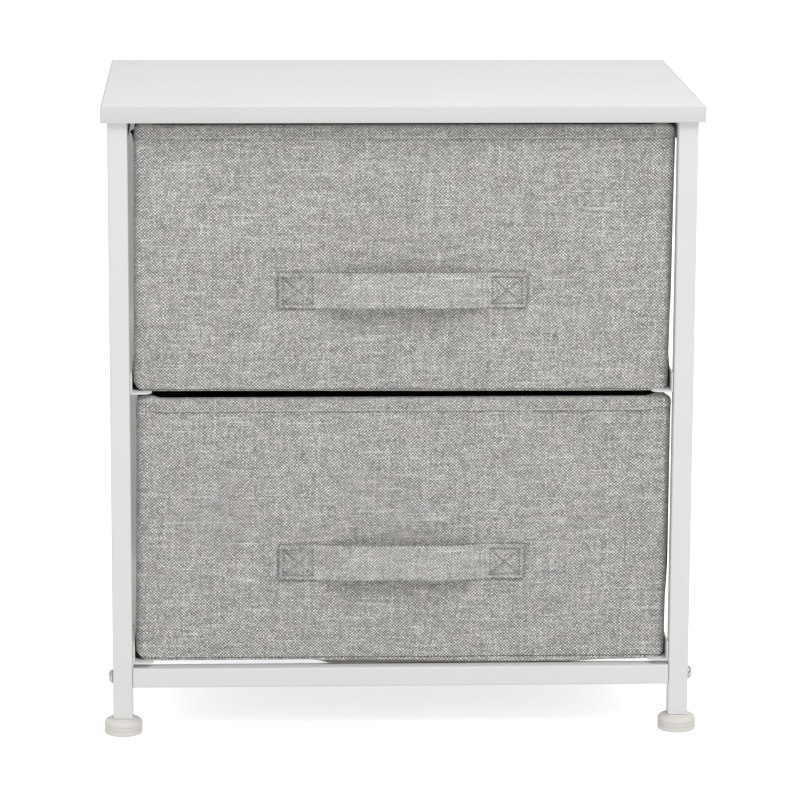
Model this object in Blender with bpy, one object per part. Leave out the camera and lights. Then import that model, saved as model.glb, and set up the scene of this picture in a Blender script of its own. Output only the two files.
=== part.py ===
"""A two-drawer storage stand: steel tube frame, laminated top and fabric drawers.

Metres, +Z up. The origin is on the floor, under the middle of the stand.
+X is the stand's right as its user sees it, and the drawers open towards -Y.
"""

import math

import bmesh
import bpy
from mathutils import Matrix, Vector

# Faces that touch on the real stand keep this gap
FIT_GAP = 0.0003

# Top board
BOARD_WIDTH = 0.450
BOARD_DEPTH = 0.300
BOARD_THICKNESS = 0.012
BOARD_EDGE_RADIUS = 0.0006
BOARD_OVERHANG = 0.005

# Square tube of the legs, rails and crossbars
TUBE_SIZE = 0.015
TUBE_WALL = 0.0012
TUBE_CORNER_RADIUS = 0.0014
TUBE_BORE_RADIUS = 0.0005

# Heights, from the floor up
FOOT_HEIGHT = 0.0125
CROSSBAR_CLEARANCE = 0.0242
RUNNER_ABOVE_CROSSBAR = 0.003
DRAWER_HEIGHT = 0.202
DRAWER_HEADROOM = 0.0064
TOP_HEADROOM = 0.0024

# Drawer runners, folded from sheet
RUNNER_THICKNESS = 0.0013
RUNNER_FLANGE = 0.016
RUNNER_WEB = 0.015
RUNNER_CORNER_RADIUS = 0.006
RUNNER_FRONT_SETBACK = 0.003
RUNNER_REAR_SETBACK = 0.005
RUNNER_TAB_HEIGHT = 0.012
RUNNER_TAB_RELIEF = 0.0015
RUNNER_TAB_CLEARANCE = 0.0005

# Drawers
DRAWER_SIDE_CLEARANCE = 0.0019
DRAWER_SETBACK = 0.010
DRAWER_EDGE_RADIUS = 0.0018
FRONT_BOARD_THICKNESS = 0.005
COVER_THICKNESS = 0.0009
WALL_THICKNESS = 0.0016
WALL_DROP = 0.006
BOTTOM_THICKNESS = 0.0012
BOTTOM_BOARD_THICKNESS = 0.003
BOTTOM_BOARD_CLEARANCE = 0.001

# Strap handles
HANDLE_LENGTH = 0.187
HANDLE_WIDTH = 0.027
HANDLE_THICKNESS = 0.0018
HANDLE_PATCH = 0.0275
HANDLE_BULGE = 0.011
HANDLE_RISE = 0.032
HANDLE_HEIGHT = 0.076
HANDLE_STATIONS = 28

# Crossbar bolts and the plugs that they screw into
BOLT_DIAMETER = 0.006
BOLT_HEAD_DIAMETER = 0.0105
BOLT_HEAD_HEIGHT = 0.003
BOLT_CROWN_RADIUS = 0.0021
BOLT_SOCKET_DIAMETER = 0.0044
BOLT_SOCKET_DEPTH = 0.0018
BOLT_GRIP = 0.010
BOLT_TIP_EASE = 0.0006
INSERT_LENGTH = 0.014

# Screws that hold the board
SCREW_DIAMETER = 0.004
SCREW_HEAD_DIAMETER = 0.008
SCREW_HEAD_HEIGHT = 0.0022
SCREW_CROWN_RADIUS = 0.0013
SCREW_POINT_LENGTH = 0.004
SCREW_COVER = 0.004
SCREW_INSET = 0.035

# Levelling feet
FOOT_DIAMETER = 0.029
FOOT_RIM_HEIGHT = 0.0052
FOOT_GROOVE = 0.0005
FOOT_COLLAR_DIAMETER = 0.0205
FOOT_COLLAR_HEIGHT = 0.0013
FOOT_SHOULDER_RADIUS = 0.0024
FOOT_EDGE_RADIUS = 0.0012
STUD_DIAMETER = 0.006
STUD_SEAT_DEPTH = 0.008
STUD_REACH = 0.018
STUD_TIP_EASE = 0.0006
LEG_INSERT_LENGTH = 0.016

# How finely shapes are modelled
FOOT_STEPS = 28
FASTENER_STEPS = 16
ARC_STEPS = 3
BOARD_EDGE_STEPS = 2
CROWN_SWEEP = 75
SMOOTH_ANGLE = math.radians(40)
MERGE_DISTANCE = 1e-6
DRILL_OVERSHOOT = 0.010

# Places worked out from the sizes above
crossbar_bottom = FOOT_HEIGHT + FIT_GAP + CROSSBAR_CLEARANCE
lower_runner_bottom = crossbar_bottom + TUBE_SIZE + RUNNER_ABOVE_CROSSBAR
runner_to_drawer = RUNNER_THICKNESS + FIT_GAP
lower_drawer_bottom = lower_runner_bottom + runner_to_drawer
upper_runner_bottom = lower_drawer_bottom + DRAWER_HEIGHT + DRAWER_HEADROOM
upper_drawer_bottom = upper_runner_bottom + runner_to_drawer
board_bottom = upper_drawer_bottom + DRAWER_HEIGHT + TOP_HEADROOM

leg_bottom = FOOT_HEIGHT + FIT_GAP
leg_top = board_bottom - FIT_GAP
leg_x = BOARD_WIDTH / 2 - BOARD_OVERHANG - TUBE_SIZE / 2
leg_y = BOARD_DEPTH / 2 - BOARD_OVERHANG - TUBE_SIZE / 2
leg_inner_x = leg_x - TUBE_SIZE / 2
leg_inner_y = leg_y - TUBE_SIZE / 2
leg_outer_y = leg_y + TUBE_SIZE / 2

low_bar_z = crossbar_bottom + TUBE_SIZE / 2
top_bar_z = leg_top - TUBE_SIZE / 2
bar_half = leg_inner_x - FIT_GAP
rail_half = leg_inner_y - FIT_GAP
rail_bottom = top_bar_z - TUBE_SIZE / 2

runner_outer_x = leg_inner_x - FIT_GAP
runner_front = -leg_outer_y + RUNNER_FRONT_SETBACK
runner_rear = leg_outer_y - RUNNER_REAR_SETBACK
tab_rear = leg_inner_y - RUNNER_TAB_CLEARANCE
tab_front = tab_rear - RUNNER_THICKNESS

drawer_half_width = runner_outer_x - RUNNER_THICKNESS - DRAWER_SIDE_CLEARANCE
drawer_front = -leg_outer_y + DRAWER_SETBACK
drawer_rear = tab_front - FIT_GAP
front_depth = COVER_THICKNESS + FIT_GAP + FRONT_BOARD_THICKNESS

bolt_bore = BOLT_DIAMETER + 2 * FIT_GAP
screw_bore = SCREW_DIAMETER + 2 * FIT_GAP
stud_bore = STUD_DIAMETER + 2 * FIT_GAP

SIDES = {"left": -1, "right": 1}
ENDS = {"front": -1, "rear": 1}


def make_material(name, color, roughness, metallic=0.0):
    material = bpy.data.materials.new(name)
    material.use_nodes = True
    shader = material.node_tree.nodes["Principled BSDF"]
    shader.inputs["Base Color"].default_value = (*color, 1.0)
    shader.inputs["Roughness"].default_value = roughness
    shader.inputs["Metallic"].default_value = metallic
    return material


def make_finishes():
    return {
        "laminate": make_material("white_laminate", (0.80, 0.80, 0.79), 0.40),
        "paint": make_material("white_powder_coat", (0.78, 0.78, 0.77), 0.38),
        "zinc": make_material("zinc_plate", (0.55, 0.54, 0.51), 0.32, 1.0),
        "steel": make_material("plain_steel", (0.50, 0.50, 0.49), 0.40, 1.0),
        "plastic": make_material("cream_plastic", (0.74, 0.72, 0.68), 0.45),
        "plug": make_material("black_nylon", (0.03, 0.03, 0.03), 0.50),
        "linen": make_material("grey_linen", (0.42, 0.41, 0.39), 0.95),
        "fibreboard": make_material("fibreboard", (0.45, 0.32, 0.20), 0.85),
        "nonwoven": make_material("black_nonwoven", (0.015, 0.013, 0.012), 0.90),
    }


def finish_object(name, mesh_data, material, smooth_angle=None):
    """Turn a bmesh into a named object with one material."""
    mesh = bpy.data.meshes.new(name)
    mesh_data.to_mesh(mesh)
    mesh_data.free()
    if smooth_angle:
        mesh.shade_smooth()
        mesh.set_sharp_from_angle(angle=smooth_angle)
    mesh.materials.append(material)
    obj = bpy.data.objects.new(name, mesh)
    bpy.context.scene.collection.objects.link(obj)
    return obj


def make_pivot(name, place):
    """An empty that carries the pieces of one moving body."""
    pivot = bpy.data.objects.new(name, None)
    pivot.location = place
    bpy.context.scene.collection.objects.link(pivot)
    return pivot


def place_under(obj, parent):
    """Parent a piece modelled in the stand's frame to an empty that is only moved."""
    obj.parent = parent
    obj.location = Vector(obj.location) - Vector(parent.location)


def box_mesh(low, high):
    mesh_data = bmesh.new()
    bmesh.ops.create_cube(mesh_data, size=1.0)
    size = Vector(high) - Vector(low)
    middle = (Vector(high) + Vector(low)) / 2
    bmesh.ops.scale(mesh_data, vec=size, verts=mesh_data.verts)
    bmesh.ops.translate(mesh_data, vec=middle, verts=mesh_data.verts)
    return mesh_data


def make_box(name, low, high, material):
    return finish_object(name, box_mesh(low, high), material)


def rounded_square(mesh_data, size, radius):
    """The edges of a square outline in the XY plane with round corners."""
    middle = size / 2 - radius
    points = []
    for quarter in range(4):
        turn = quarter * math.pi / 2
        corner = Matrix.Rotation(turn, 3, "Z") @ Vector((middle, middle, 0))
        for step in range(ARC_STEPS + 1):
            angle = turn + step / ARC_STEPS * math.pi / 2
            arm = Vector((math.cos(angle), math.sin(angle), 0)) * radius
            points.append(mesh_data.verts.new(corner + arm))
    return [
        mesh_data.edges.new((points[i - 1], points[i])) for i in range(len(points))
    ]


def tube_mesh(length):
    """Square tube along Z, from Z 0, open at both ends."""
    mesh_data = bmesh.new()
    outer = rounded_square(mesh_data, TUBE_SIZE, TUBE_CORNER_RADIUS)
    inner = rounded_square(mesh_data, TUBE_SIZE - 2 * TUBE_WALL, TUBE_BORE_RADIUS)
    section = bmesh.ops.bridge_loops(mesh_data, edges=outer + inner)["faces"]
    grown = bmesh.ops.extrude_face_region(mesh_data, geom=section)["geom"]
    ends = [item for item in grown if isinstance(item, bmesh.types.BMVert)]
    bmesh.ops.translate(mesh_data, vec=(0, 0, length), verts=ends)
    bmesh.ops.recalc_face_normals(mesh_data, faces=mesh_data.faces)
    return mesh_data


def turned_mesh(profile, steps):
    """Spin (radius, height) points about Z. The first and last lie on the axis."""
    mesh_data = bmesh.new()
    points = [mesh_data.verts.new((radius, 0, height)) for radius, height in profile]
    edges = [mesh_data.edges.new(pair) for pair in zip(points, points[1:])]
    bmesh.ops.spin(
        mesh_data,
        geom=points + edges,
        cent=(0, 0, 0),
        axis=(0, 0, 1),
        angle=math.tau,
        steps=steps,
    )
    bmesh.ops.remove_doubles(mesh_data, verts=mesh_data.verts, dist=MERGE_DISTANCE)
    bmesh.ops.recalc_face_normals(mesh_data, faces=mesh_data.faces)
    return mesh_data


def arc_points(center, radius, start, end):
    """(radius, height) points of an arc, with its angles in degrees from +R."""
    points = []
    for step in range(ARC_STEPS + 1):
        angle = math.radians(start + (end - start) * step / ARC_STEPS)
        points.append(
            (center[0] + radius * math.cos(angle), center[1] + radius * math.sin(angle))
        )
    return points


def add_thickness(obj, thickness):
    """Give a surface its thickness, half to each side."""
    solid = obj.modifiers.new("thickness", "SOLIDIFY")
    solid.solidify_mode = "NON_MANIFOLD"
    solid.nonmanifold_thickness_mode = "CONSTRAINTS"
    solid.thickness = thickness
    solid.offset = 0.0


def make_drill(name, diameter, start, end):
    """A guide cylinder between two points, which cuts holes and isn't a piece."""
    start = Vector(start)
    reach = Vector(end) - start
    mesh_data = bmesh.new()
    bmesh.ops.create_cone(
        mesh_data,
        cap_ends=True,
        segments=FASTENER_STEPS,
        radius1=diameter / 2,
        radius2=diameter / 2,
        depth=reach.length,
    )
    mesh = bpy.data.meshes.new(name)
    mesh_data.to_mesh(mesh)
    mesh_data.free()
    drill = bpy.data.objects.new(name, mesh)
    drill.location = start + reach / 2
    drill.rotation_mode = "QUATERNION"
    drill.rotation_quaternion = reach.to_track_quat("Z", "Y")
    drill.hide_render = True
    drill.display_type = "WIRE"
    bpy.context.scene.collection.objects.link(drill)
    return drill


def drill_hole(obj, drill):
    cut = obj.modifiers.new(drill.name, "BOOLEAN")
    cut.operation = "DIFFERENCE"
    cut.solver = "EXACT"
    cut.object = drill


def make_top_board(finishes):
    board = make_box(
        "top_board",
        (-BOARD_WIDTH / 2, -BOARD_DEPTH / 2, board_bottom),
        (BOARD_WIDTH / 2, BOARD_DEPTH / 2, board_bottom + BOARD_THICKNESS),
        finishes["laminate"],
    )
    edge = board.modifiers.new("eased_edges", "BEVEL")
    edge.width = BOARD_EDGE_RADIUS
    edge.segments = BOARD_EDGE_STEPS
    return board


def make_tube(name, length, start, direction, material):
    """A square tube from a start point along one of the axes."""
    tube = finish_object(name, tube_mesh(length), material, SMOOTH_ANGLE)
    tube.location = start
    turns = {"X": (0, math.pi / 2, 0), "Y": (-math.pi / 2, 0, 0), "Z": (0, 0, 0)}
    tube.rotation_euler = turns[direction]
    return tube


def make_frame(finishes):
    """Legs, rails and crossbars, by name."""
    paint = finishes["paint"]
    tubes = {}
    for end, along_y in ENDS.items():
        for side, along_x in SIDES.items():
            name = f"{end}_{side}_leg"
            start = (along_x * leg_x, along_y * leg_y, leg_bottom)
            tubes[name] = make_tube(name, leg_top - leg_bottom, start, "Z", paint)

    for side, along_x in SIDES.items():
        name = f"{side}_top_rail"
        start = (along_x * leg_x, -rail_half, top_bar_z)
        tubes[name] = make_tube(name, 2 * rail_half, start, "Y", paint)

    for name, along_y, height in (
        ("front_crossbar", -1, low_bar_z),
        ("rear_lower_crossbar", 1, low_bar_z),
        ("rear_upper_crossbar", 1, top_bar_z),
    ):
        start = (-bar_half, along_y * leg_y, height)
        tubes[name] = make_tube(name, 2 * bar_half, start, "X", paint)
    return tubes


def runner_mesh(along_x):
    """Folded angle with a rear stop tab, as the sheet's middle surface.

    Its flange lies towards the middle of the stand, and Z 0 is the flange's
    underside.
    """
    half = RUNNER_THICKNESS / 2
    fold_x = runner_outer_x - half
    inner_x = runner_outer_x - RUNNER_FLANGE
    relief_x = fold_x - RUNNER_TAB_RELIEF
    tab_y = tab_front + half
    radius = min(RUNNER_CORNER_RADIUS, RUNNER_FLANGE - 2 * RUNNER_THICKNESS)

    rounded_corner = []
    for step in range(ARC_STEPS + 1):
        angle = math.pi + step / ARC_STEPS * math.pi / 2
        rounded_corner.append(
            (
                inner_x + radius + radius * math.cos(angle),
                runner_front + radius + radius * math.sin(angle),
                half,
            )
        )
    flange = rounded_corner + [
        (fold_x, runner_front, half),
        (fold_x, tab_y, half),
        (relief_x, tab_y, half),
        (inner_x, tab_y, half),
    ]
    tab = [
        (inner_x, tab_y, half),
        (relief_x, tab_y, half),
        (relief_x, tab_y, RUNNER_TAB_HEIGHT),
        (inner_x, tab_y, RUNNER_TAB_HEIGHT),
    ]
    web = [
        (fold_x, tab_y, half),
        (fold_x, runner_front, half),
        (fold_x, runner_front, RUNNER_WEB),
        (fold_x, runner_rear, RUNNER_WEB),
        (fold_x, runner_rear, half),
    ]
    mesh_data = bmesh.new()
    for outline in (flange, tab, web):
        corners = [mesh_data.verts.new((along_x * x, y, z)) for x, y, z in outline]
        mesh_data.faces.new(corners)
    bmesh.ops.remove_doubles(mesh_data, verts=mesh_data.verts, dist=MERGE_DISTANCE)
    bmesh.ops.recalc_face_normals(mesh_data, faces=mesh_data.faces)
    return mesh_data


def make_runners(finishes):
    levels = {"lower": lower_runner_bottom, "upper": upper_runner_bottom}
    for level, height in levels.items():
        for side, along_x in SIDES.items():
            runner = finish_object(
                f"{level}_{side}_runner", runner_mesh(along_x), finishes["paint"]
            )
            runner.location.z = height
            add_thickness(runner, RUNNER_THICKNESS)


def bolt_profile():
    """Button head above Z 0 with a round socket, and its shank below."""
    length = FIT_GAP + TUBE_SIZE + FIT_GAP + BOLT_GRIP
    shank = BOLT_DIAMETER / 2
    head = BOLT_HEAD_DIAMETER / 2
    socket = BOLT_SOCKET_DIAMETER / 2
    crown = min(BOLT_CROWN_RADIUS, head - shank, BOLT_HEAD_HEIGHT)
    top = BOLT_HEAD_HEIGHT
    dome = arc_points((head - crown, top - crown), crown, 0, CROWN_SWEEP)
    ease = BOLT_TIP_EASE
    return (
        [(0, -length), (shank - ease, -length), (shank, -length + ease)]
        + [(shank, 0), (head, 0)]
        + dome
        + [(socket, top), (socket, top - BOLT_SOCKET_DEPTH), (0, top - BOLT_SOCKET_DEPTH)]
    )


def insert_mesh(length):
    """Square plug along Z that fits the bore of the tube."""
    half = TUBE_SIZE / 2 - TUBE_WALL - FIT_GAP
    return box_mesh((-half, -half, 0), (half, half, length))


def make_crossbar_fasteners(finishes, tubes):
    """A bolt and a threaded plug at both ends of each crossbar."""
    joints = {
        "front": ("front", low_bar_z),
        "rear_lower": ("rear", low_bar_z),
        "rear_upper": ("rear", top_bar_z),
    }
    reach = leg_x + TUBE_SIZE / 2 + DRILL_OVERSHOOT
    for joint, (end, height) in joints.items():
        line = (ENDS[end] * leg_y, height)
        drill = make_drill(f"{joint}_bolt_drill", bolt_bore, (-reach, *line), (reach, *line))
        for side, along_x in SIDES.items():
            drill_hole(tubes[f"{end}_{side}_leg"], drill)

            bolt = finish_object(
                f"{joint}_{side}_bolt",
                turned_mesh(bolt_profile(), FASTENER_STEPS),
                finishes["zinc"],
                SMOOTH_ANGLE,
            )
            bolt.location = (along_x * (leg_x + TUBE_SIZE / 2 + FIT_GAP), *line)
            bolt.rotation_euler = (0, along_x * math.pi / 2, 0)

            insert = finish_object(
                f"{joint}_{side}_insert", insert_mesh(INSERT_LENGTH), finishes["plug"]
            )
            insert.location = (along_x * bar_half, *line)
            insert.rotation_euler = (0, -along_x * math.pi / 2, 0)
            drill_hole(insert, drill)


def screw_profile():
    """Pan head below Z 0, shank and point above it."""
    shank = SCREW_DIAMETER / 2
    head = SCREW_HEAD_DIAMETER / 2
    length = FIT_GAP + TUBE_SIZE + FIT_GAP + BOARD_THICKNESS - SCREW_COVER
    crown = min(SCREW_CROWN_RADIUS, head - shank, SCREW_HEAD_HEIGHT)
    middle = (head - crown, -SCREW_HEAD_HEIGHT + crown)
    dome = arc_points(middle, crown, 360 - CROWN_SWEEP, 360)
    return (
        [(0, -SCREW_HEAD_HEIGHT)]
        + dome
        + [(head, 0), (shank, 0), (shank, length - SCREW_POINT_LENGTH), (0, length)]
    )


def make_board_screws(finishes, tubes, board):
    screw_end = board_bottom + BOARD_THICKNESS - SCREW_COVER
    for end, along_y in ENDS.items():
        for side, along_x in SIDES.items():
            line = (along_x * leg_x, along_y * (rail_half - SCREW_INSET))
            drill = make_drill(
                f"{end}_{side}_screw_drill",
                screw_bore,
                (*line, rail_bottom - DRILL_OVERSHOOT),
                (*line, screw_end + FIT_GAP),
            )
            drill_hole(tubes[f"{side}_top_rail"], drill)
            drill_hole(board, drill)
            screw = finish_object(
                f"{end}_{side}_board_screw",
                turned_mesh(screw_profile(), FASTENER_STEPS),
                finishes["steel"],
                SMOOTH_ANGLE,
            )
            screw.location = (*line, rail_bottom - FIT_GAP)


def foot_profile():
    """Pad of a levelling foot, with a blind hole for its stud."""
    rim = FOOT_DIAMETER / 2
    collar = FOOT_COLLAR_DIAMETER / 2
    hole = stud_bore / 2
    shoulder = FOOT_HEIGHT - FOOT_COLLAR_HEIGHT
    groove = FOOT_RIM_HEIGHT + FOOT_GROOVE
    round_over = min(FOOT_SHOULDER_RADIUS, rim - collar, shoulder - groove)
    seat = FOOT_HEIGHT - STUD_SEAT_DEPTH
    return (
        [(0, 0)]
        + arc_points((rim - FOOT_EDGE_RADIUS, FOOT_EDGE_RADIUS), FOOT_EDGE_RADIUS, 270, 360)
        + [
            (rim, FOOT_RIM_HEIGHT),
            (rim - FOOT_GROOVE, groove),
            (rim, groove + FOOT_GROOVE),
        ]
        + arc_points((rim - round_over, shoulder - round_over), round_over, 0, 90)
        + [(collar, shoulder), (collar, FOOT_HEIGHT), (hole, FOOT_HEIGHT)]
        + [(hole, seat), (0, seat)]
    )


def stud_profile():
    """Steel stud, from just above the pad's blind hole up into the leg."""
    radius = STUD_DIAMETER / 2
    bottom = FOOT_HEIGHT - STUD_SEAT_DEPTH + FIT_GAP
    top = FOOT_HEIGHT + STUD_REACH
    return [
        (0, bottom),
        (radius, bottom),
        (radius, top - STUD_TIP_EASE),
        (radius - STUD_TIP_EASE, top),
        (0, top),
    ]


def make_feet(finishes):
    """Levelling feet: each stud slides in its leg's plug, and its pad turns."""
    for end, along_y in ENDS.items():
        for side, along_x in SIDES.items():
            corner = f"{end}_{side}"
            line = (along_x * leg_x, along_y * leg_y)
            drill = make_drill(
                f"{corner}_stud_drill",
                stud_bore,
                (*line, leg_bottom - DRILL_OVERSHOOT),
                (*line, leg_bottom + LEG_INSERT_LENGTH + DRILL_OVERSHOOT),
            )
            insert = finish_object(
                f"{corner}_leg_insert", insert_mesh(LEG_INSERT_LENGTH), finishes["plug"]
            )
            insert.location = (*line, leg_bottom)
            drill_hole(insert, drill)

            axis = make_pivot(f"{corner}_foot_axis", (*line, 0))
            for name, profile, steps, finish in (
                ("stud", stud_profile(), FASTENER_STEPS, "steel"),
                ("foot", foot_profile(), FOOT_STEPS, "plastic"),
            ):
                piece = finish_object(
                    f"{corner}_{name}",
                    turned_mesh(profile, steps),
                    finishes[finish],
                    SMOOTH_ANGLE,
                )
                piece.parent = axis


def cover_mesh(bottom):
    """Linen wrapped over the front board: a tray that is open at the back."""
    low = (-drawer_half_width, drawer_front, bottom)
    high = (drawer_half_width, drawer_front + front_depth, bottom + DRAWER_HEIGHT)
    mesh_data = box_mesh(low, high)
    back = max(mesh_data.faces, key=lambda face: face.calc_center_median().y)
    front = min(mesh_data.faces, key=lambda face: face.calc_center_median().y)
    front_corners = [
        edge
        for edge in mesh_data.edges
        if back not in edge.link_faces and front in edge.link_faces
    ]
    bmesh.ops.inset_region(mesh_data, faces=[back], thickness=COVER_THICKNESS)
    grown = bmesh.ops.extrude_face_region(mesh_data, geom=[back])["geom"]
    floor = [item for item in grown if isinstance(item, bmesh.types.BMVert)]
    bmesh.ops.delete(mesh_data, geom=[back], context="FACES_KEEP_BOUNDARY")
    inward = COVER_THICKNESS - front_depth
    bmesh.ops.translate(mesh_data, vec=(0, inward, 0), verts=floor)
    bmesh.ops.bevel(
        mesh_data,
        geom=front_corners,
        offset=min(DRAWER_EDGE_RADIUS, 2 * COVER_THICKNESS),
        segments=ARC_STEPS,
        profile=0.5,
        affect="EDGES",
    )
    return mesh_data


def handle_stand_off(x):
    """How far the back of the strap stands off the front at a distance from its middle."""
    free_half = HANDLE_LENGTH / 2 - HANDLE_PATCH
    rise = min(HANDLE_RISE, free_half)
    share = max(0.0, min(1.0, (free_half - abs(x)) / rise))
    return HANDLE_BULGE * share * share * (3 - 2 * share)


def handle_mesh(bottom):
    """The middle surface of a strap that is flat at its ends and stands off between."""
    mesh_data = bmesh.new()
    flat_y = drawer_front - FIT_GAP - HANDLE_THICKNESS / 2
    middle_z = bottom + HANDLE_HEIGHT
    free_half = HANDLE_LENGTH / 2 - HANDLE_PATCH
    stations = [-HANDLE_LENGTH / 2]
    for step in range(HANDLE_STATIONS + 1):
        stations.append(-free_half + 2 * free_half * step / HANDLE_STATIONS)
    stations.append(HANDLE_LENGTH / 2)
    rows = []
    for x in stations:
        y = flat_y - handle_stand_off(x)
        rows.append(
            [
                mesh_data.verts.new((x, y, middle_z - HANDLE_WIDTH / 2)),
                mesh_data.verts.new((x, y, middle_z + HANDLE_WIDTH / 2)),
            ]
        )
    for here, there in zip(rows, rows[1:]):
        mesh_data.faces.new((here[0], there[0], there[1], here[1]))
    return mesh_data


def make_drawer_front(prefix, bottom, finishes):
    """A board wrapped in its linen cover, with a strap handle on it."""
    cover = finish_object(f"{prefix}_front_cover", cover_mesh(bottom), finishes["linen"])
    edge = COVER_THICKNESS + FIT_GAP
    board_half = drawer_half_width - edge
    board = make_box(
        f"{prefix}_front_board",
        (-board_half, drawer_front + edge, bottom + edge),
        (board_half, drawer_front + front_depth, bottom + DRAWER_HEIGHT - edge),
        finishes["fibreboard"],
    )
    handle = finish_object(
        f"{prefix}_handle", handle_mesh(bottom), finishes["linen"], SMOOTH_ANGLE
    )
    add_thickness(handle, HANDLE_THICKNESS)
    return [cover, board, handle]


def make_drawer_box(prefix, bottom, finishes):
    """Cloth walls and bottom behind the front, and a loose board on the bottom."""
    wall_top = bottom + DRAWER_HEIGHT - WALL_DROP
    half = drawer_half_width - FIT_GAP
    inner_half = half - WALL_THICKNESS - FIT_GAP
    behind_front = drawer_front + front_depth + FIT_GAP
    before_back = drawer_rear - WALL_THICKNESS - FIT_GAP
    board_rest = bottom + BOTTOM_THICKNESS + FIT_GAP
    play = BOTTOM_BOARD_CLEARANCE

    pieces = []
    for side, along_x in SIDES.items():
        across = sorted((along_x * half, along_x * (half - WALL_THICKNESS)))
        wall = make_box(
            f"{prefix}_{side}_wall",
            (across[0], behind_front, bottom),
            (across[1], drawer_rear, wall_top),
            finishes["nonwoven"],
        )
        pieces.append(wall)
    back_wall = make_box(
        f"{prefix}_back_wall",
        (-inner_half, drawer_rear - WALL_THICKNESS, bottom),
        (inner_half, drawer_rear, wall_top),
        finishes["nonwoven"],
    )
    fabric_bottom = make_box(
        f"{prefix}_bottom",
        (-inner_half, behind_front, bottom),
        (inner_half, before_back, bottom + BOTTOM_THICKNESS),
        finishes["nonwoven"],
    )
    bottom_board = make_box(
        f"{prefix}_bottom_board",
        (-inner_half + play, behind_front + play, board_rest),
        (inner_half - play, before_back - play, board_rest + BOTTOM_BOARD_THICKNESS),
        finishes["fibreboard"],
    )
    return pieces + [back_wall, fabric_bottom, bottom_board]


def make_drawer(level, bottom, finishes):
    """One fabric drawer, with its pieces under an empty at its bottom front edge."""
    prefix = f"{level}_drawer"
    body = make_pivot(prefix, (0, drawer_front, bottom))
    pieces = make_drawer_front(prefix, bottom, finishes)
    pieces += make_drawer_box(prefix, bottom, finishes)
    for piece in pieces:
        place_under(piece, body)


def main():
    for obj in list(bpy.data.objects):
        bpy.data.objects.remove(obj, do_unlink=True)
    finishes = make_finishes()
    board = make_top_board(finishes)
    tubes = make_frame(finishes)
    make_runners(finishes)
    make_crossbar_fasteners(finishes, tubes)
    make_board_screws(finishes, tubes, board)
    make_feet(finishes)
    make_drawer("lower", lower_drawer_bottom, finishes)
    make_drawer("upper", upper_drawer_bottom, finishes)


main()
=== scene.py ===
import math

import bmesh
import bpy
from mathutils import Matrix, Vector, noise


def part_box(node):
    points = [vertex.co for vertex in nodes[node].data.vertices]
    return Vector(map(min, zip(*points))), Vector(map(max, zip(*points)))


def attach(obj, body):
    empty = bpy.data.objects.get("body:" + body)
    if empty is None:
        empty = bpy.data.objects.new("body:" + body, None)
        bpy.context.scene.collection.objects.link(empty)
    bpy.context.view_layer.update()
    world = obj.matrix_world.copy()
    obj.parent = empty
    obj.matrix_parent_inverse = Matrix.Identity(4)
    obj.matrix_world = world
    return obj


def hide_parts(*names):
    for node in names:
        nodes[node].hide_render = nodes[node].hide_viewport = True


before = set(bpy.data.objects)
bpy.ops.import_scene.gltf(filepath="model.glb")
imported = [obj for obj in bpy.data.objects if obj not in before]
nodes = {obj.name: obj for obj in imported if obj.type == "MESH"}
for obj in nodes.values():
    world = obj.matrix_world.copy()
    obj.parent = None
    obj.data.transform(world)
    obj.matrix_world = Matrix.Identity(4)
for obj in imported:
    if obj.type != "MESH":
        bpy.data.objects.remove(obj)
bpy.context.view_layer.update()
print("frame loaded:", len(nodes), "nodes")

sideSigns = {"left": -1, "right": 1}
corners = [(end, side) for end in ("front", "rear") for side in sideSigns]


def addObject(name, data):
    thing = bpy.data.objects.new(name, data)
    bpy.context.scene.collection.objects.link(thing)
    return thing


# Camera, from the photograph's perspective with an unshifted lens
cameraSettings = {
    "place": (-0.1262, -3.0, 0.8534),
    "turn": (78.279, -0.237, -2.442),
    "lens": 174.4,
    "sensor": 36.0,
    "farthest": 60.0,
}


def makeCamera():
    camera = addObject("photoCamera", bpy.data.cameras.new("photoCamera"))
    camera.data.lens = cameraSettings["lens"]
    camera.data.sensor_width = cameraSettings["sensor"]
    camera.data.clip_end = cameraSettings["farthest"]
    camera.location = cameraSettings["place"]
    camera.rotation_euler = [math.radians(angle) for angle in cameraSettings["turn"]]
    bpy.context.scene.camera = camera


# Soft studio light: a high front softbox, a low fill on the left and a bright surround
lightSettings = {
    "key": {"place": (0.7, -1.7, 2.4), "size": 1.4, "power": 32.0},
    "fill": {"place": (-1.9, -1.7, 0.7), "size": 1.4, "power": 5.0},
    "aim": (0.0, 0.0, 0.25),
    "surround": 0.62,
    "backdrop": 1.0,
}


def makeLights():
    for name in ("key", "fill"):
        values = lightSettings[name]
        data = bpy.data.lights.new(name + "Softbox", "AREA")
        data.shape = "SQUARE"
        data.size = values["size"]
        data.energy = values["power"]
        lamp = addObject(name + "Softbox", data)
        lamp.location = values["place"]
        aim = Vector(lightSettings["aim"]) - Vector(values["place"])
        lamp.rotation_mode = "QUATERNION"
        lamp.rotation_quaternion = aim.to_track_quat("-Z", "Y")

    world = bpy.data.worlds.new("studio")
    world.use_nodes = True
    tree = world.node_tree
    tree.nodes.clear()
    strength = mixValue(tree, seenItself(tree), lightSettings["surround"], lightSettings["backdrop"])
    white = {"Color": (1.0, 1.0, 1.0, 1.0), "Strength": strength}
    surround = addNode(tree, "ShaderNodeBackground", white)
    addNode(tree, "ShaderNodeOutputWorld", {"Surface": surround.outputs[0]})
    bpy.context.scene.world = world
    bpy.context.scene.view_settings.view_transform = "Standard"


# Small helpers for node trees: an input is fed from a socket or with a value
def feed(tree, node, feeds):
    for key, value in feeds.items():
        if isinstance(value, bpy.types.NodeSocket):
            tree.links.new(value, node.inputs[key])
        else:
            node.inputs[key].default_value = value


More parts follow.
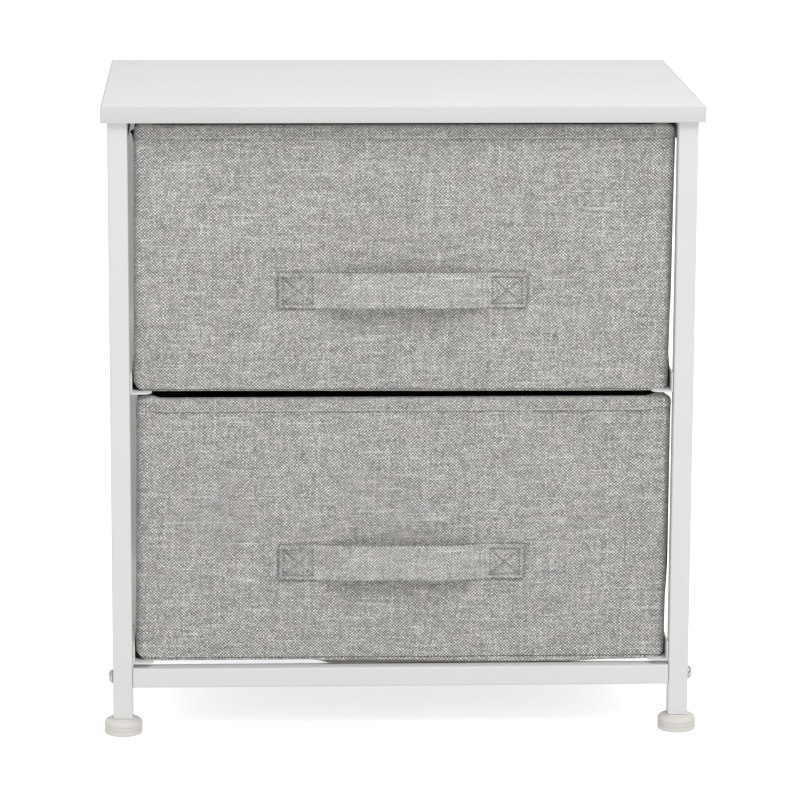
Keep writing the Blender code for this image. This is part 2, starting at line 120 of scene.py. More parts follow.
def addNode(tree, kind, feeds=None, **options):
    node = tree.nodes.new(kind)
    for key, value in options.items():
        setattr(node, key, value)
    feed(tree, node, feeds or {})
    return node


def maths(tree, operation, *terms):
    return addNode(tree, "ShaderNodeMath", dict(enumerate(terms)), operation=operation).outputs[0]


def times(tree, value, *others):
    for other in others:
        value = maths(tree, "MULTIPLY", value, other)
    return value


def plus(tree, value, *others):
    for other in others:
        value = maths(tree, "ADD", value, other)
    return value


def minus(tree, first, second):
    return maths(tree, "SUBTRACT", first, second)


def mixValue(tree, share, low, high):
    return addNode(tree, "ShaderNodeMix", {0: share, 2: low, 3: high}, data_type="FLOAT").outputs[0]


def mixColour(tree, share, low, high, blend="MIX"):
    feeds = {0: share, 6: low, 7: high}
    return addNode(tree, "ShaderNodeMix", feeds, data_type="RGBA", blend_type=blend).outputs[2]


def combine(tree, x, y, z=0.0):
    return addNode(tree, "ShaderNodeCombineXYZ", {0: x, 1: y, 2: z}).outputs[0]


def split(tree, vector):
    return addNode(tree, "ShaderNodeSeparateXYZ", {0: vector}).outputs


def scaled(tree, vector, factor):
    return addNode(tree, "ShaderNodeVectorMath", {0: vector, "Scale": factor}, operation="SCALE").outputs[0]


def noiseValue(tree, vector, scale, detail=2.0):
    feeds = {"Vector": vector, "Scale": scale, "Detail": detail}
    return addNode(tree, "ShaderNodeTexNoise", feeds).outputs["Fac"]


def ramp(tree, value, low, high):
    feeds = {"Value": value, "From Min": low, "From Max": high}
    return addNode(tree, "ShaderNodeMapRange", feeds, interpolation_type="SMOOTHSTEP").outputs[0]


# One for a ray that sees the surface itself, in the camera or in a gloss
def seenItself(tree):
    rays = addNode(tree, "ShaderNodeLightPath").outputs
    return maths(tree, "MAXIMUM", rays["Is Camera Ray"], rays["Is Glossy Ray"])


# Every effect takes a vector, numbers and colours, and gives a colour, a height and a roughness
def startGroup(name, inputs):
    tree = bpy.data.node_groups.new(name, "ShaderNodeTree")
    kinds = {"Vector": "Vector", "Color": "Color", "Colour": "Color"}
    for way, labels in (("INPUT", ["Vector", *inputs]), ("OUTPUT", ["Color", "Height", "Roughness"])):
        for label in labels:
            kind = kinds.get(label.split()[-1], "Float")
            tree.interface.new_socket(label, in_out=way, socket_type="NodeSocket" + kind)
    return tree, addNode(tree, "NodeGroupInput").outputs


def finishGroup(tree, colour, height, roughness):
    addNode(tree, "NodeGroupOutput", {"Color": colour, "Height": height, "Roughness": roughness})
    return tree


# Plain weave: warp and weft yarns that pass over each other, with slubs along each yarn and painted shade in
# the valleys between the yarns
weaveSettings = {
    "drift": 0.0012,
    "driftScale": 400.0,
    "underHeight": 0.55,
    "warpTone": (7.31, 0.07),
    "weftTone": (5.17, 0.06),
    "slubTone": (3.71, 0.028),
    "slubStart": (0.56, 0.72),
    "cloudScale": 28.0,
    "shares": {"onTop": 0.45, "warp": 0.30, "weft": 0.62, "cloud": 0.14, "warpSlub": 0.16, "weftSlub": 0.50},
    "darkest": 0.05,
    "palest": 1.15,
    "warmScale": 45.0,
    "warmStart": 0.42,
    "warmGain": 2.2,
    "warmTint": (1.03, 0.985, 0.97, 1.0),
    "roughness": (0.98, 0.82),
}


def makeWeaveGroup():
    values = weaveSettings
    shares = values["shares"]
    tree, source = startGroup("plainWeave", [
        "Warp Pitch", "Weft Pitch", "Warp Colour", "Weft Colour",
        "Valley Shade", "Slub Contrast", "Crossing Contrast",
    ])
    drift = addNode(tree, "ShaderNodeTexNoise", {
        "Vector": source["Vector"], "Scale": values["driftScale"], "Detail": 1.0,
    })
    shift = scaled(tree, drift.outputs["Color"], values["drift"])
    moved = addNode(tree, "ShaderNodeVectorMath", {0: source["Vector"], 1: shift}, operation="ADD")
    cloth = split(tree, moved.outputs[0])

    across = maths(tree, "DIVIDE", cloth[0], source["Warp Pitch"])
    along = maths(tree, "DIVIDE", cloth[1], source["Weft Pitch"])
    warpNumber = maths(tree, "FLOOR", across)
    weftNumber = maths(tree, "FLOOR", along)
    weftOnTop = maths(tree, "FLOORED_MODULO", plus(tree, warpNumber, weftNumber), 2.0)
    rounds = [maths(tree, "SINE", times(tree, maths(tree, "FRACT", run), math.pi)) for run in (across, along)]
    warpHeight = times(tree, rounds[0], mixValue(tree, rounds[1], values["underHeight"], 1.0))
    weftHeight = times(tree, rounds[1], mixValue(tree, rounds[0], values["underHeight"], 1.0))
    height = mixValue(tree, weftOnTop, warpHeight, weftHeight)

    yarnStep, runStep = values["warpTone"]
    warpPlace = combine(tree, times(tree, warpNumber, yarnStep), times(tree, along, runStep))
    yarnStep, runStep = values["weftTone"]
    weftPlace = combine(tree, times(tree, across, runStep), times(tree, weftNumber, yarnStep), 9.0)
    warpTone = minus(tree, noiseValue(tree, warpPlace, 1.0), 0.5)
    weftTone = minus(tree, noiseValue(tree, weftPlace, 1.0), 0.5)
    cloud = minus(tree, noiseValue(tree, source["Vector"], values["cloudScale"], 3.0), 0.5)
    slubs = []
    yarnStep, runStep = values["slubTone"]
    for number, run in ((warpNumber, along), (weftNumber, across)):
        place = combine(tree, times(tree, number, yarnStep), times(tree, run, runStep), 21.0)
        slubs.append(ramp(tree, noiseValue(tree, place, 1.0, 1.0), *values["slubStart"]))
    rowTone = plus(tree, times(tree, warpTone, shares["warp"]), times(tree, weftTone, shares["weft"]))
    tone = plus(
        tree,
        times(tree, mixValue(tree, weftOnTop, warpTone, weftTone), shares["onTop"]),
        rowTone,
        times(tree, cloud, shares["cloud"]),
        times(tree, slubs[0], shares["warpSlub"]),
    )
    crossing = {"Vector": combine(tree, warpNumber, weftNumber)}
    speck = addNode(tree, "ShaderNodeTexWhiteNoise", crossing, noise_dimensions="2D")
    fleck = times(tree, minus(tree, speck.outputs["Value"], 0.5), source["Crossing Contrast"])
    bright = plus(tree, times(tree, tone, source["Slub Contrast"]), fleck)
    # Painted shade in the valleys between the yarns
    paintedValleyShade = times(tree, minus(tree, 1.0, height), source["Valley Shade"])
    level = minus(tree, plus(tree, 1.0, bright), paintedValleyShade)
    level = maths(tree, "MINIMUM", maths(tree, "MAXIMUM", level, values["darkest"]), values["palest"])

    paleShare = times(tree, slubs[1], shares["weftSlub"])
    weftColour = mixColour(tree, paleShare, source["Weft Colour"], source["Warp Colour"])
    yarn = mixColour(tree, weftOnTop, source["Warp Colour"], weftColour)
    warmth = noiseValue(tree, combine(tree, cloth[0], cloth[1], 3.0), values["warmScale"])
    warmth = times(tree, minus(tree, warmth, values["warmStart"]), values["warmGain"])
    yarn = mixColour(tree, warmth, yarn, mixColour(tree, 1.0, yarn, values["warmTint"], "MULTIPLY"))
    return finishGroup(tree, scaled(tree, yarn, level), height, mixValue(tree, height, *values["roughness"]))


# Fine grain for coated, moulded and plated surfaces
broadGrain = 14.0


def makeGrainGroup():
    tree, source = startGroup(
        "fineGrain", ["Colour", "Grain Scale", "Colour Change", "Roughness", "Roughness Change"]
    )
    fine = noiseValue(tree, source["Vector"], source["Grain Scale"])
    broad = minus(tree, noiseValue(tree, source["Vector"], broadGrain, 3.0), 0.5)
    level = plus(tree, 1.0, times(tree, broad, source["Colour Change"]))
    change = times(tree, minus(tree, fine, 0.5), source["Roughness Change"])
    rough = plus(tree, source["Roughness"], change)
    return finishGroup(tree, scaled(tree, source["Colour"], level), fine, rough)


# Spun-bonded fabric: loose fibres pressed together in rows of small dimples
bondedSettings = {
    "dimple": (0.20, 0.38),
    "dimpleShade": 0.75,
    "fibreScale": 2600.0,
    "fibreStretch": (1.0, 0.22, 1.0),
    "fibreHeight": 0.35,
    "cloudScale": 24.0,
    "cloudShade": (0.62, 1.38),
    "creaseScale": 42.0,
    "roughness": (0.62, 0.92),
}


def makeBondedGroup():
    values = bondedSettings
    tree, source = startGroup("bondedFibres", ["Dimple Pitch", "Colour", "Fibre Contrast", "Crease"])
    cloth = split(tree, source["Vector"])
    across = maths(tree, "DIVIDE", cloth[0], source["Dimple Pitch"])
    along = maths(tree, "DIVIDE", cloth[1], source["Dimple Pitch"])
    stagger = times(tree, maths(tree, "FLOORED_MODULO", maths(tree, "FLOOR", along), 2.0), 0.5)
    inCell = [minus(tree, maths(tree, "FRACT", run), 0.5) for run in (plus(tree, across, stagger), along)]
    reach = addNode(tree, "ShaderNodeVectorMath", {0: combine(tree, *inCell)}, operation="LENGTH")
    edge = ramp(tree, reach.outputs["Value"], *values["dimple"])
    stretch = {0: source["Vector"], 1: values["fibreStretch"]}
    stretched = addNode(tree, "ShaderNodeVectorMath", stretch, operation="MULTIPLY")
    fibre = noiseValue(tree, stretched.outputs[0], values["fibreScale"], 3.0)
    level = plus(tree, times(tree, minus(tree, fibre, 0.5), source["Fibre Contrast"]), 1.0)
    cloud = noiseValue(tree, source["Vector"], values["cloudScale"], 4.0)
    dimpleShade = mixValue(tree, edge, values["dimpleShade"], 1.0)
    level = times(tree, level, dimpleShade, mixValue(tree, cloud, *values["cloudShade"]))
    crease = noiseValue(tree, source["Vector"], values["creaseScale"], 3.0)
    raised = plus(
        tree, edge, times(tree, fibre, values["fibreHeight"]), times(tree, crease, source["Crease"])
    )
    rough = mixValue(tree, edge, *values["roughness"])
    return finishGroup(tree, scaled(tree, source["Colour"], level), raised, rough)


# A material: an effect gives its colour, roughness and bump, and the rest stays on the shader
def makeFinish(name, group, coordinate, inputs, bumpStrength, bumpDepth, shaderValues):
    material = bpy.data.materials.new(name)
    material.use_nodes = True
    tree = material.node_tree
    place = addNode(tree, "ShaderNodeTexCoord").outputs[coordinate]
    effect = addNode(tree, "ShaderNodeGroup", {"Vector": place, **inputs}, node_tree=group).outputs
    bump = addNode(tree, "ShaderNodeBump", {
        "Height": effect["Height"], "Strength": bumpStrength, "Distance": bumpDepth,
    })
    feed(tree, tree.nodes["Principled BSDF"], {
        "Base Color": effect["Color"],
        "Roughness": effect["Roughness"],
        "Normal": bump.outputs[0],
        **shaderValues,
    })
    return material, place, effect


# The hard finishes: colour, grain size and gloss of each, over what most of them share
hardShared = {"change": 0.03, "roughnessChange": 0.14, "bump": 0.00003, "specular": 0.45, "metal": 0.0}
metalShared = {"grain": 2400.0, "change": 0.12, "bump": 0.00002, "specular": 0.5, "metal": 1.0}
threadShared = {"grain": 5200.0, "change": 0.15, "roughness": 0.72, "roughnessChange": 0.20, "bump": 0.00005,
                "specular": 0.35}
hardFinishes = {
    "laminate": {"colour": (0.815, 0.815, 0.805), "grain": 1500.0, "roughness": 0.50,
                 "roughnessChange": 0.12, "specular": 0.30},
    "edgeBand": {"colour": (0.69, 0.69, 0.68), "grain": 900.0, "roughness": 0.48,
                 "roughnessChange": 0.12, "specular": 0.35},
    "powderCoat": {"colour": (0.755, 0.755, 0.75), "grain": 1100.0, "roughness": 0.36,
                   "roughnessChange": 0.16, "bump": 0.00005},
    "creamPlastic": {"colour": (0.74, 0.715, 0.675), "grain": 1800.0, "change": 0.05, "roughness": 0.46},
    "blackNylon": {"colour": (0.028, 0.028, 0.029), "grain": 1800.0, "change": 0.10, "roughness": 0.50,
                   "roughnessChange": 0.15},
    "zincPlate": {**metalShared, "colour": (0.40, 0.405, 0.385), "roughness": 0.22},
    "plainSteel": {**metalShared, "colour": (0.42, 0.42, 0.41), "roughness": 0.34},
    "fibreboard": {"colour": (0.42, 0.30, 0.19), "grain": 2200.0, "change": 0.20, "roughness": 0.86,
                   "roughnessChange": 0.12, "bump": 0.00008, "specular": 0.25},
    "paleThread": {**threadShared, "colour": (0.62, 0.61, 0.58), "change": 0.10},
    "greyThread": {**threadShared, "colour": (0.125, 0.12, 0.115), "change": 0.12},
    "brownThread": {**threadShared, "colour": (0.075, 0.050, 0.042)},
    "blackThread": {**threadShared, "colour": (0.085, 0.083, 0.080), "roughness": 0.62, "specular": 0.40},
}


hardBump = 0.35


def makeHardFinish(name, group):
    values = {**hardShared, **hardFinishes[name]}
    inputs = {
        "Colour": (*values["colour"], 1.0),
        "Grain Scale": values["grain"],
        "Colour Change": values["change"],
        "Roughness": values["roughness"],
        "Roughness Change": values["roughnessChange"],
    }
    gloss = {"Metallic": values["metal"], "Specular IOR Level": values["specular"]}
    return makeFinish(name, group, "Object", inputs, hardBump, values["bump"], gloss)[0]


# The cloths: yarn pitch in metres, yarn colours and contrast of each, and the painted shade at its marked
# places
linenYarns = {"Warp Pitch": 0.00127, "Weft Pitch": 0.00118, "Slub Contrast": 0.9}
clothGloss = {"Specular IOR Level": 0.15, "Sheen Weight": 0.08, "Sheen Roughness": 0.6}
clothBump = 0.6
clothFinishes = {
    # The 'turned' mark paints shade on the cover's sides and lip; the 'sewn' mark paints shade on the strap's
    # sewn ends and rim
    "drawerLinen": {
        "yarns": {**linenYarns, "Warp Colour": (0.787, 0.783, 0.757, 1.0),
                  "Weft Colour": (0.245, 0.239, 0.223, 1.0), "Valley Shade": 0.40, "Crossing Contrast": 0.42},
        "bump": 0.00030, "mark": "turned", "markShade": (0.10, 0.098, 0.093, 1.0), "markMottle": 0.0,
    },
    "handleLinen": {
        "yarns": {**linenYarns, "Warp Colour": (0.812, 0.810, 0.783, 1.0),
                  "Weft Colour": (0.283, 0.279, 0.260, 1.0), "Valley Shade": 0.38, "Crossing Contrast": 0.40},
        "bump": 0.00028, "mark": "sewn", "markShade": (0.14, 0.139, 0.137, 1.0), "markMottle": 1.8,
    },
    "bindingTape": {
        "yarns": {"Warp Pitch": 0.00060, "Weft Pitch": 0.00045, "Warp Colour": (0.022, 0.020, 0.019, 1.0),
                  "Weft Colour": (0.017, 0.015, 0.014, 1.0), "Valley Shade": 0.45, "Slub Contrast": 0.50,
                  "Crossing Contrast": 0.2},
        "bump": 0.00015,
    },
}
# How much of the painted shade colour a mark of one gives, and the scale of its mottle
markSettings = {"share": 0.24, "mottleScale": 520.0}


def makeClothFinish(name, group):
    values = clothFinishes[name]
    material, place, effect = makeFinish(
        name, group, "UV", values["yarns"], clothBump, values["bump"], clothGloss
    )
    # Painted shade: the colour is mixed toward the mark's shade colour where the mark attribute is set, in
    # mottled flecks where mottle is given
    if "mark" in values:
        tree = material.node_tree
        mark = addNode(tree, "ShaderNodeAttribute", attribute_name=values["mark"])
        blotch = minus(tree, noiseValue(tree, place, markSettings["mottleScale"]), 0.5)
        mottle = plus(tree, times(tree, blotch, values["markMottle"]), markSettings["share"])
        share = times(tree, mark.outputs["Fac"], maths(tree, "MAXIMUM", mottle, 0.0))
        shaded = mixColour(tree, share, effect["Color"], values["markShade"])
        feed(tree, tree.nodes["Principled BSDF"], {"Base Color": shaded})
    return material


nonwovenSettings = {
    "fibres": {"Dimple Pitch": 0.0013, "Colour": (0.0150, 0.0140, 0.0135, 1.0), "Fibre Contrast": 1.3,
               "Crease": 4.0},
    "bump": 0.00018,
    "gloss": {"Specular IOR Level": 0.30},
}


def makeFinishes():
    grain = makeGrainGroup()
    weave = makeWeaveGroup()
    finishes = {name: makeHardFinish(name, grain) for name in hardFinishes}
    finishes.update({name: makeClothFinish(name, weave) for name in clothFinishes})
    values = nonwovenSettings
    finishes["blackNonwoven"] = makeFinish(
        "blackNonwoven", makeBondedGroup(), "UV", values["fibres"], clothBump, values["bump"], values["gloss"]
    )[0]
    print("finishes made:", len(finishes))
    return finishes


# Pieces
def addMesh(name, points, edges=(), faces=()):
    mesh = bpy.data.meshes.new(name)
    mesh.from_pydata([tuple(point) for point in points], edges, faces)
    return addObject(name, mesh)


def smoothFaces(mesh, sharpAngle):
    mesh.shade_smooth()
    mesh.set_sharp_from_angle(angle=math.radians(sharpAngle))


def makePiece(name, points, faces, material, uvs=None, smoothAngle=40.0):
    piece = addMesh(name, points, (), faces)
    mesh = piece.data
    if uvs:
        layer = mesh.uv_layers.new(name="clothMap")
        for loop in mesh.loops:
            layer.data[loop.index].uv = uvs[loop.vertex_index]
    mesh.materials.append(material)
    smoothFaces(mesh, smoothAngle)
    mesh.validate()
    return piece


def addMark(piece, name, values):
    mark = piece.data.attributes.new(name, "FLOAT", "POINT")
    for item, value in zip(mark.data, values):
        item.value = value


def settle(piece, body, slot, *replaced):
    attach(piece, body)
    if replaced:
        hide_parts(*replaced)


def smoothStep(low, high, value):
    share = max(0.0, min(1.0, (value - low) / (high - low)))
    return share * share * (3.0 - 2.0 * share)


def hump(centre, width, value):
    return math.exp(-(((value - centre) / width) ** 2))


def spaced(start, end, step):
    count = max(1, round((end - start) / step))
    return [start + (end - start) * i / count for i in range(count + 1)]


# Places along a line: each stretch is an end and the step up to it
def stretches(start, ends):
    places = [start]
    for end, step in ends:
        places += spaced(places[-1], end, step)[1:]
    return places


def gridFaces(columns, rows, flipped=False):
    faces = []
    for i in range(columns - 1):
        for j in range(rows - 1):
            face = (i * rows + j, (i + 1) * rows + j, (i + 1) * rows + j + 1, i * rows + j + 1)
            faces.append(face[::-1] if flipped else face)
    return faces


# Faces of a tube of rings, closed at both ends
def tubeFaces(rings, size, flipped=False):
    faces = []
    for first in range(0, (rings - 1) * size, size):
        for k in range(size):
            after = (k + 1) % size
            faces.append((first + k, first + after, first + size + after, first + size + k))
    last = (rings - 1) * size
    faces += [tuple(reversed(range(size))), tuple(range(last, last + size))]
    return [face[:1] + face[:0:-1] for face in faces] if flipped else faces


# How far round a section each of its points lies
def girths(section):
    lengths = [0.0]
    for before, after in zip(section, section[1:]):
        lengths.append(lengths[-1] + math.dist(before, after))
    return lengths


def thicken(piece, thickness, offset):
    skin = piece.modifiers.new("thickness", "SOLIDIFY")
    skin.thickness = thickness
    skin.offset = offset
    skin.use_even_offset = True
    skin.use_rim = True


def spinRings(name, profile, steps, material, shape=None, smoothAngle=35.0):
    points = []
    for index, (radius, height) in enumerate(profile):
        for step in range(steps):
            angle = math.tau * step / steps
            reach = shape(index, angle, radius) if shape else radius
            points.append((reach * math.cos(angle), reach * math.sin(angle), height))
    return makePiece(name, points, tubeFaces(len(profile), steps), material, smoothAngle=smoothAngle)


def arc(centreRadius, centreHeight, radius, start, end, steps=6):
    angles = [math.radians(start + (end - start) * step / steps) for step in range(steps + 1)]
    return [(centreRadius + radius * math.cos(a), centreHeight + radius * math.sin(a)) for a in angles]


def startSlab(low, high):
    bm = bmesh.new()
    bmesh.ops.create_cube(bm, size=1.0)
    bmesh.ops.scale(bm, vec=high - low, verts=bm.verts)
    bmesh.ops.translate(bm, vec=(high + low) / 2, verts=bm.verts)
    return bm


def bevel(bm, edges, width, segments):
    bmesh.ops.bevel(bm, geom=edges, offset=width, segments=segments, profile=0.5, affect="EDGES")


def finishSlab(name, bm, material):
    mesh = bpy.data.meshes.new(name)
    bm.to_mesh(mesh)
    bm.free()
    mesh.materials.append(material)
    return addObject(name, mesh)


# Top board: laminated core with a thin band glued round its edge
boardSettings = {"band": 0.0010, "ease": 0.0006, "coreEase": 0.00015, "joint": 0.00008, "sharp": 50.0}


def makeTopBoard(finishes):
    values = boardSettings
    low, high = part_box("top_board")
    band = values["band"]
    inset = Vector((band + values["joint"], band + values["joint"], 0.0))
    bm = startSlab(low + inset, high - inset)
    bevel(bm, bm.edges[:], values["coreEase"], 3)
    core = finishSlab("boardCore", bm, finishes["laminate"])
    settle(core, "frame", "board", "top_board")

    bm = bmesh.new()
    rings = []
    for margin in (0.0, band):
        left, right, front, rear = low.x + margin, high.x - margin, low.y + margin, high.y - margin
        around = [(left, front), (right, front), (right, rear), (left, rear)]
        rings.append([[bm.verts.new((x, y, z)) for x, y in around] for z in (low.z, high.z)])
    (outerLow, outerHigh), (innerLow, innerHigh) = rings
    for i in range(4):
        j = (i + 1) % 4
        bm.faces.new((outerLow[i], outerLow[j], outerHigh[j], outerHigh[i]))
        bm.faces.new((innerLow[j], innerLow[i], innerHigh[i], innerHigh[j]))
        bm.faces.new((outerHigh[i], outerHigh[j], innerHigh[j], innerHigh[i]))
        bm.faces.new((outerLow[j], outerLow[i], innerLow[i], innerLow[j]))
    outside = [e for e in bm.edges if not any(v in innerLow + innerHigh for v in e.verts)]
    bevel(bm, outside, values["ease"], 3)
    edgeBand = finishSlab("boardEdgeBand", bm, finishes["edgeBand"])
    settle(edgeBand, "frame", "board")
    for piece in (core, edgeBand):
        smoothFaces(piece.data, values["sharp"])
    print("top board made")


# Geometry node trees
def startTree(name, inputs):
    tree = bpy.data.node_groups.new(name, "GeometryNodeTree")
    for label, kind in {"Geometry": "Geometry", **inputs, "Material": "Material"}.items():
        tree.interface.new_socket(label, in_out="INPUT", socket_type="NodeSocket" + kind)
    tree.interface.new_socket("Geometry", in_out="OUTPUT", socket_type="NodeSocketGeometry")
    return tree, addNode(tree, "NodeGroupInput").outputs


def finishTree(tree, geometry, material):
    real = addNode(tree, "GeometryNodeRealizeInstances", {"Geometry": geometry})
    painted = {"Geometry": real.outputs["Geometry"], "Material": material}
    painted = addNode(tree, "GeometryNodeSetMaterial", painted)
    addNode(tree, "NodeGroupOutput", {"Geometry": painted.outputs["Geometry"]})
    return tree


# Run a tree on a start object and keep the result as a plain mesh
def growMesh(name, start, tree, values):
    grown = start.modifiers.new(tree.name, "NODES")
    grown.node_group = tree
    for item in tree.interface.items_tree:
        if item.in_out == "INPUT" and item.name in values:
            grown[item.identifier] = values[item.name]
    bpy.context.view_layer.update()
    graph = bpy.context.evaluated_depsgraph_get()
    mesh = bpy.data.meshes.new_from_object(start.evaluated_get(graph))
    start.modifiers.clear()
    mesh.name = name
    piece = addObject(name, mesh)
    bpy.data.objects.remove(start)
    return piece


# Stitches along every line of the start mesh, a little uneven in size
stitchSizes = (0.88, 1.08)


def makeStitchTree():
    tree, source = startTree("stitchRows", {
        "Pitch": "Float", "Stitch Length": "Float", "Thread Radius": "Float", "Seed": "Int",
    })
    lines = addNode(tree, "GeometryNodeMeshToCurve", {"Mesh": source["Geometry"]})
    every = {"Curve": lines.outputs["Curve"], "Length": source["Pitch"]}
    places = addNode(tree, "GeometryNodeCurveToPoints", every, mode="LENGTH").outputs
    thread = addNode(tree, "GeometryNodeMeshUVSphere", {"Segments": 6, "Rings": 6, "Radius": 1.0})
    half = times(tree, source["Stitch Length"], 0.5)
    size = combine(tree, source["Thread Radius"], source["Thread Radius"], half)
    shaped = addNode(tree, "GeometryNodeTransform", {"Geometry": thread.outputs["Mesh"], "Scale": size})
    smooth = addNode(tree, "GeometryNodeSetShadeSmooth", {"Geometry": shaped.outputs["Geometry"]})
    turned = addNode(tree, "FunctionNodeAlignRotationToVector", {"Vector": places["Tangent"]}, axis="Z")
    smallest, largest = stitchSizes
    sizes = {2: smallest, 3: largest, "Seed": source["Seed"]}
    uneven = addNode(tree, "FunctionNodeRandomValue", sizes, data_type="FLOAT")
    placed = addNode(tree, "GeometryNodeInstanceOnPoints", {
        "Points": places["Points"],
        "Instance": smooth.outputs["Geometry"],
        "Rotation": turned.outputs["Rotation"],
        "Scale": uneven.outputs[1],
    })
    return finishTree(tree, placed.outputs["Instances"], source["Material"])


def makeStitches(name, tree, lines, material, values):
    points = []
    edges = []
    for line in lines:
        first = len(points)
        points.extend(line)
        edges.extend((first + i, first + i + 1) for i in range(len(line) - 1))
    start = addMesh(name + "Lines", points, edges)
    return growMesh(name, start, tree, {**values, "Material": material})


# Copies of one fastener at the points of the start mesh, each turned by the "turn" attribute
def makeFastenerTree():
    tree, source = startTree("fastenerSet", {"Fastener": "Object"})
    model = addNode(tree, "GeometryNodeObjectInfo", {"Object": source["Fastener"]})
    turn = addNode(tree, "GeometryNodeInputNamedAttribute", {"Name": "turn"}, data_type="FLOAT_VECTOR")
    rotation = addNode(tree, "FunctionNodeEulerToRotation", {"Euler": turn.outputs["Attribute"]})
    placed = addNode(tree, "GeometryNodeInstanceOnPoints", {
        "Points": source["Geometry"],
        "Instance": model.outputs["Geometry"],
        "Rotation": rotation.outputs["Rotation"],
    })
    return finishTree(tree, placed.outputs["Instances"], source["Material"])


def placeCopies(name, tree, model, places, turns, material):
    start = addMesh(name + "Places", places)
    attribute = start.data.attributes.new("turn", "FLOAT_VECTOR", "POINT")
    for item, turn in zip(attribute.data, turns):
        item.vector = turn
    piece = growMesh(name, start, tree, {"Fastener": model, "Material": material})
    bpy.data.objects.remove(model)
    return piece


# Button-head bolts with a hexagon socket
boltSettings = {
    "socketAcross": 0.0040,
    "socketDepth": 0.0018,
    "socketMouth": ((1.16, 0.0), (1.02, 0.00025), (1.0, 0.0004)),
    "shankRadius": 0.003,
    "tip": ((0.55, 0.0), (0.95, 0.0006)),
    "ease": 0.0002,
    "rim": 0.0007,
    "crown": 1.35,
    "seatGap": 0.0003,
    "domeSteps": 8,
    "domePower": 1.25,
    "steps": 48,
}


def boltProfile(headRadius, headHeight, length):
    values = boltSettings
    shank = values["shankRadius"]
    rim = values["rim"]
    flat = values["socketAcross"] / 2
    tip = headHeight - length
    ease = values["ease"]
    profile = [(shank * share, tip + up) for share, up in values["tip"]]
    profile += [(shank, -ease), (headRadius - ease / 2, 0.0), (headRadius, ease)]
    for step in range(values["domeSteps"] + 1):
        share = step / values["domeSteps"]
        profile.append((headRadius - (headRadius - flat * values["crown"]) * share ** values["domePower"],
                        rim + (headHeight - rim) * math.sin(share * math.pi / 2)))
    profile += [(flat * share, headHeight - depth) for share, depth in values["socketMouth"]]
    return profile + [(flat, headHeight - values["socketDepth"])]


def makeBolts(finishes, tree):
    names = [f"{row}_{side}_bolt" for row in ("front", "rear_lower", "rear_upper") for side in sideSigns]
    low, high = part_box(names[0])
    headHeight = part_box("front_left_leg")[0].x - low.x - boltSettings["seatGap"]
    profile = boltProfile((high.z - low.z) / 2, headHeight, high.x - low.x)
    hexFrom = len(profile) - 2

    def hexagon(index, angle, radius):
        if index < hexFrom:
            return radius
        return radius / math.cos(math.fmod(angle, math.pi / 3) - math.pi / 6)

    model = spinRings("boltModel", profile, boltSettings["steps"], finishes["zincPlate"], hexagon, 30.0)
    places = []
    turns = []
    for name in names:
        low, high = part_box(name)
        side = -1 if name.endswith("left_bolt") else 1
        seat = low.x + headHeight if side < 0 else high.x - headHeight
        places.append((seat, (low.y + high.y) / 2, (low.z + high.z) / 2))
        turns.append((0.0, side * math.pi / 2, 0.0))
    bolts = placeCopies("crossbarBolts", tree, model, places, turns, finishes["zincPlate"])
    settle(bolts, "frame", "bolt_zinc", *names)
    print("bolts made")


# Pan-head screws with a dimple, under the top rails
screwSettings = {"dimple": 0.0006, "crown": 0.0030, "crownRise": 0.0001, "round": 0.0012, "ease": 0.0002,
                 "shank": 0.0019, "point": 0.0040, "tip": (0.0002, 0.0003), "seatGap": 0.0003, "steps": 32}


def makeBoardScrews(finishes, tree):
    values = screwSettings
    names = [f"{end}_{side}_board_screw" for end, side in corners]
    low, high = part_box(names[0])
    headRadius = (high.x - low.x) / 2
    length = high.z - low.z
    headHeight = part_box("left_top_rail")[0].z - values["seatGap"] - low.z
    rim = values["round"]
    shank = values["shank"]
    rise = values["crownRise"]
    ease = values["ease"]
    tip, tipEase = values["tip"]
    profile = [(values["dimple"], 0.0), (values["crown"], rise)]
    profile += arc(headRadius - rim, rim + rise, rim, -90, 0, 5)
    profile += [(headRadius, headHeight - ease), (headRadius - ease, headHeight), (shank, headHeight)]
    profile += [(shank, length - values["point"]), (tip, length - tipEase)]
    model = spinRings("screwModel", profile, values["steps"], finishes["plainSteel"])
    places = []
    for name in names:
        low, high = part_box(name)
        places.append(((low.x + high.x) / 2, (low.y + high.y) / 2, low.z))
    turns = [(0.0, 0.0, 0.0)] * len(names)
    screws = placeCopies("boardScrews", tree, model, places, turns, finishes["plainSteel"])
    settle(screws, "frame", "screw_steel", *names)
    print("board screws made")


# Levelling feet: a moulded pad with a ribbed rim on a threaded stud
footSettings = {
    "collarRadius": 0.01025,
    "collarHeight": 0.0013,
    "shoulder": 0.0031,
    "edge": 0.0012,
    "ease": 0.0003,
    "grooves": (0.0044, 0.0068),
    "grooveDepth": 0.0004,
    "grooveRound": 0.7,
    "mouth": 0.0004,
    "centre": 0.0006,
    "ribs": 64,
    "ribDepth": 0.00032,
    "ribBand": (0.0014, 0.0040),
    "ribReach": 0.0002,
    "ringStep": 0.00065,
    "bore": 0.0033,
    "boreDepth": 0.0078,
    "boreCone": 0.0001,
    "steps": 320,
    "threadPitch": 0.0010,
    "threadDepth": 0.00055,
    "threadStart": 0.0002,
    "threadTip": 0.75,
    "threadRings": 6,
    "threadSteps": 28,
}


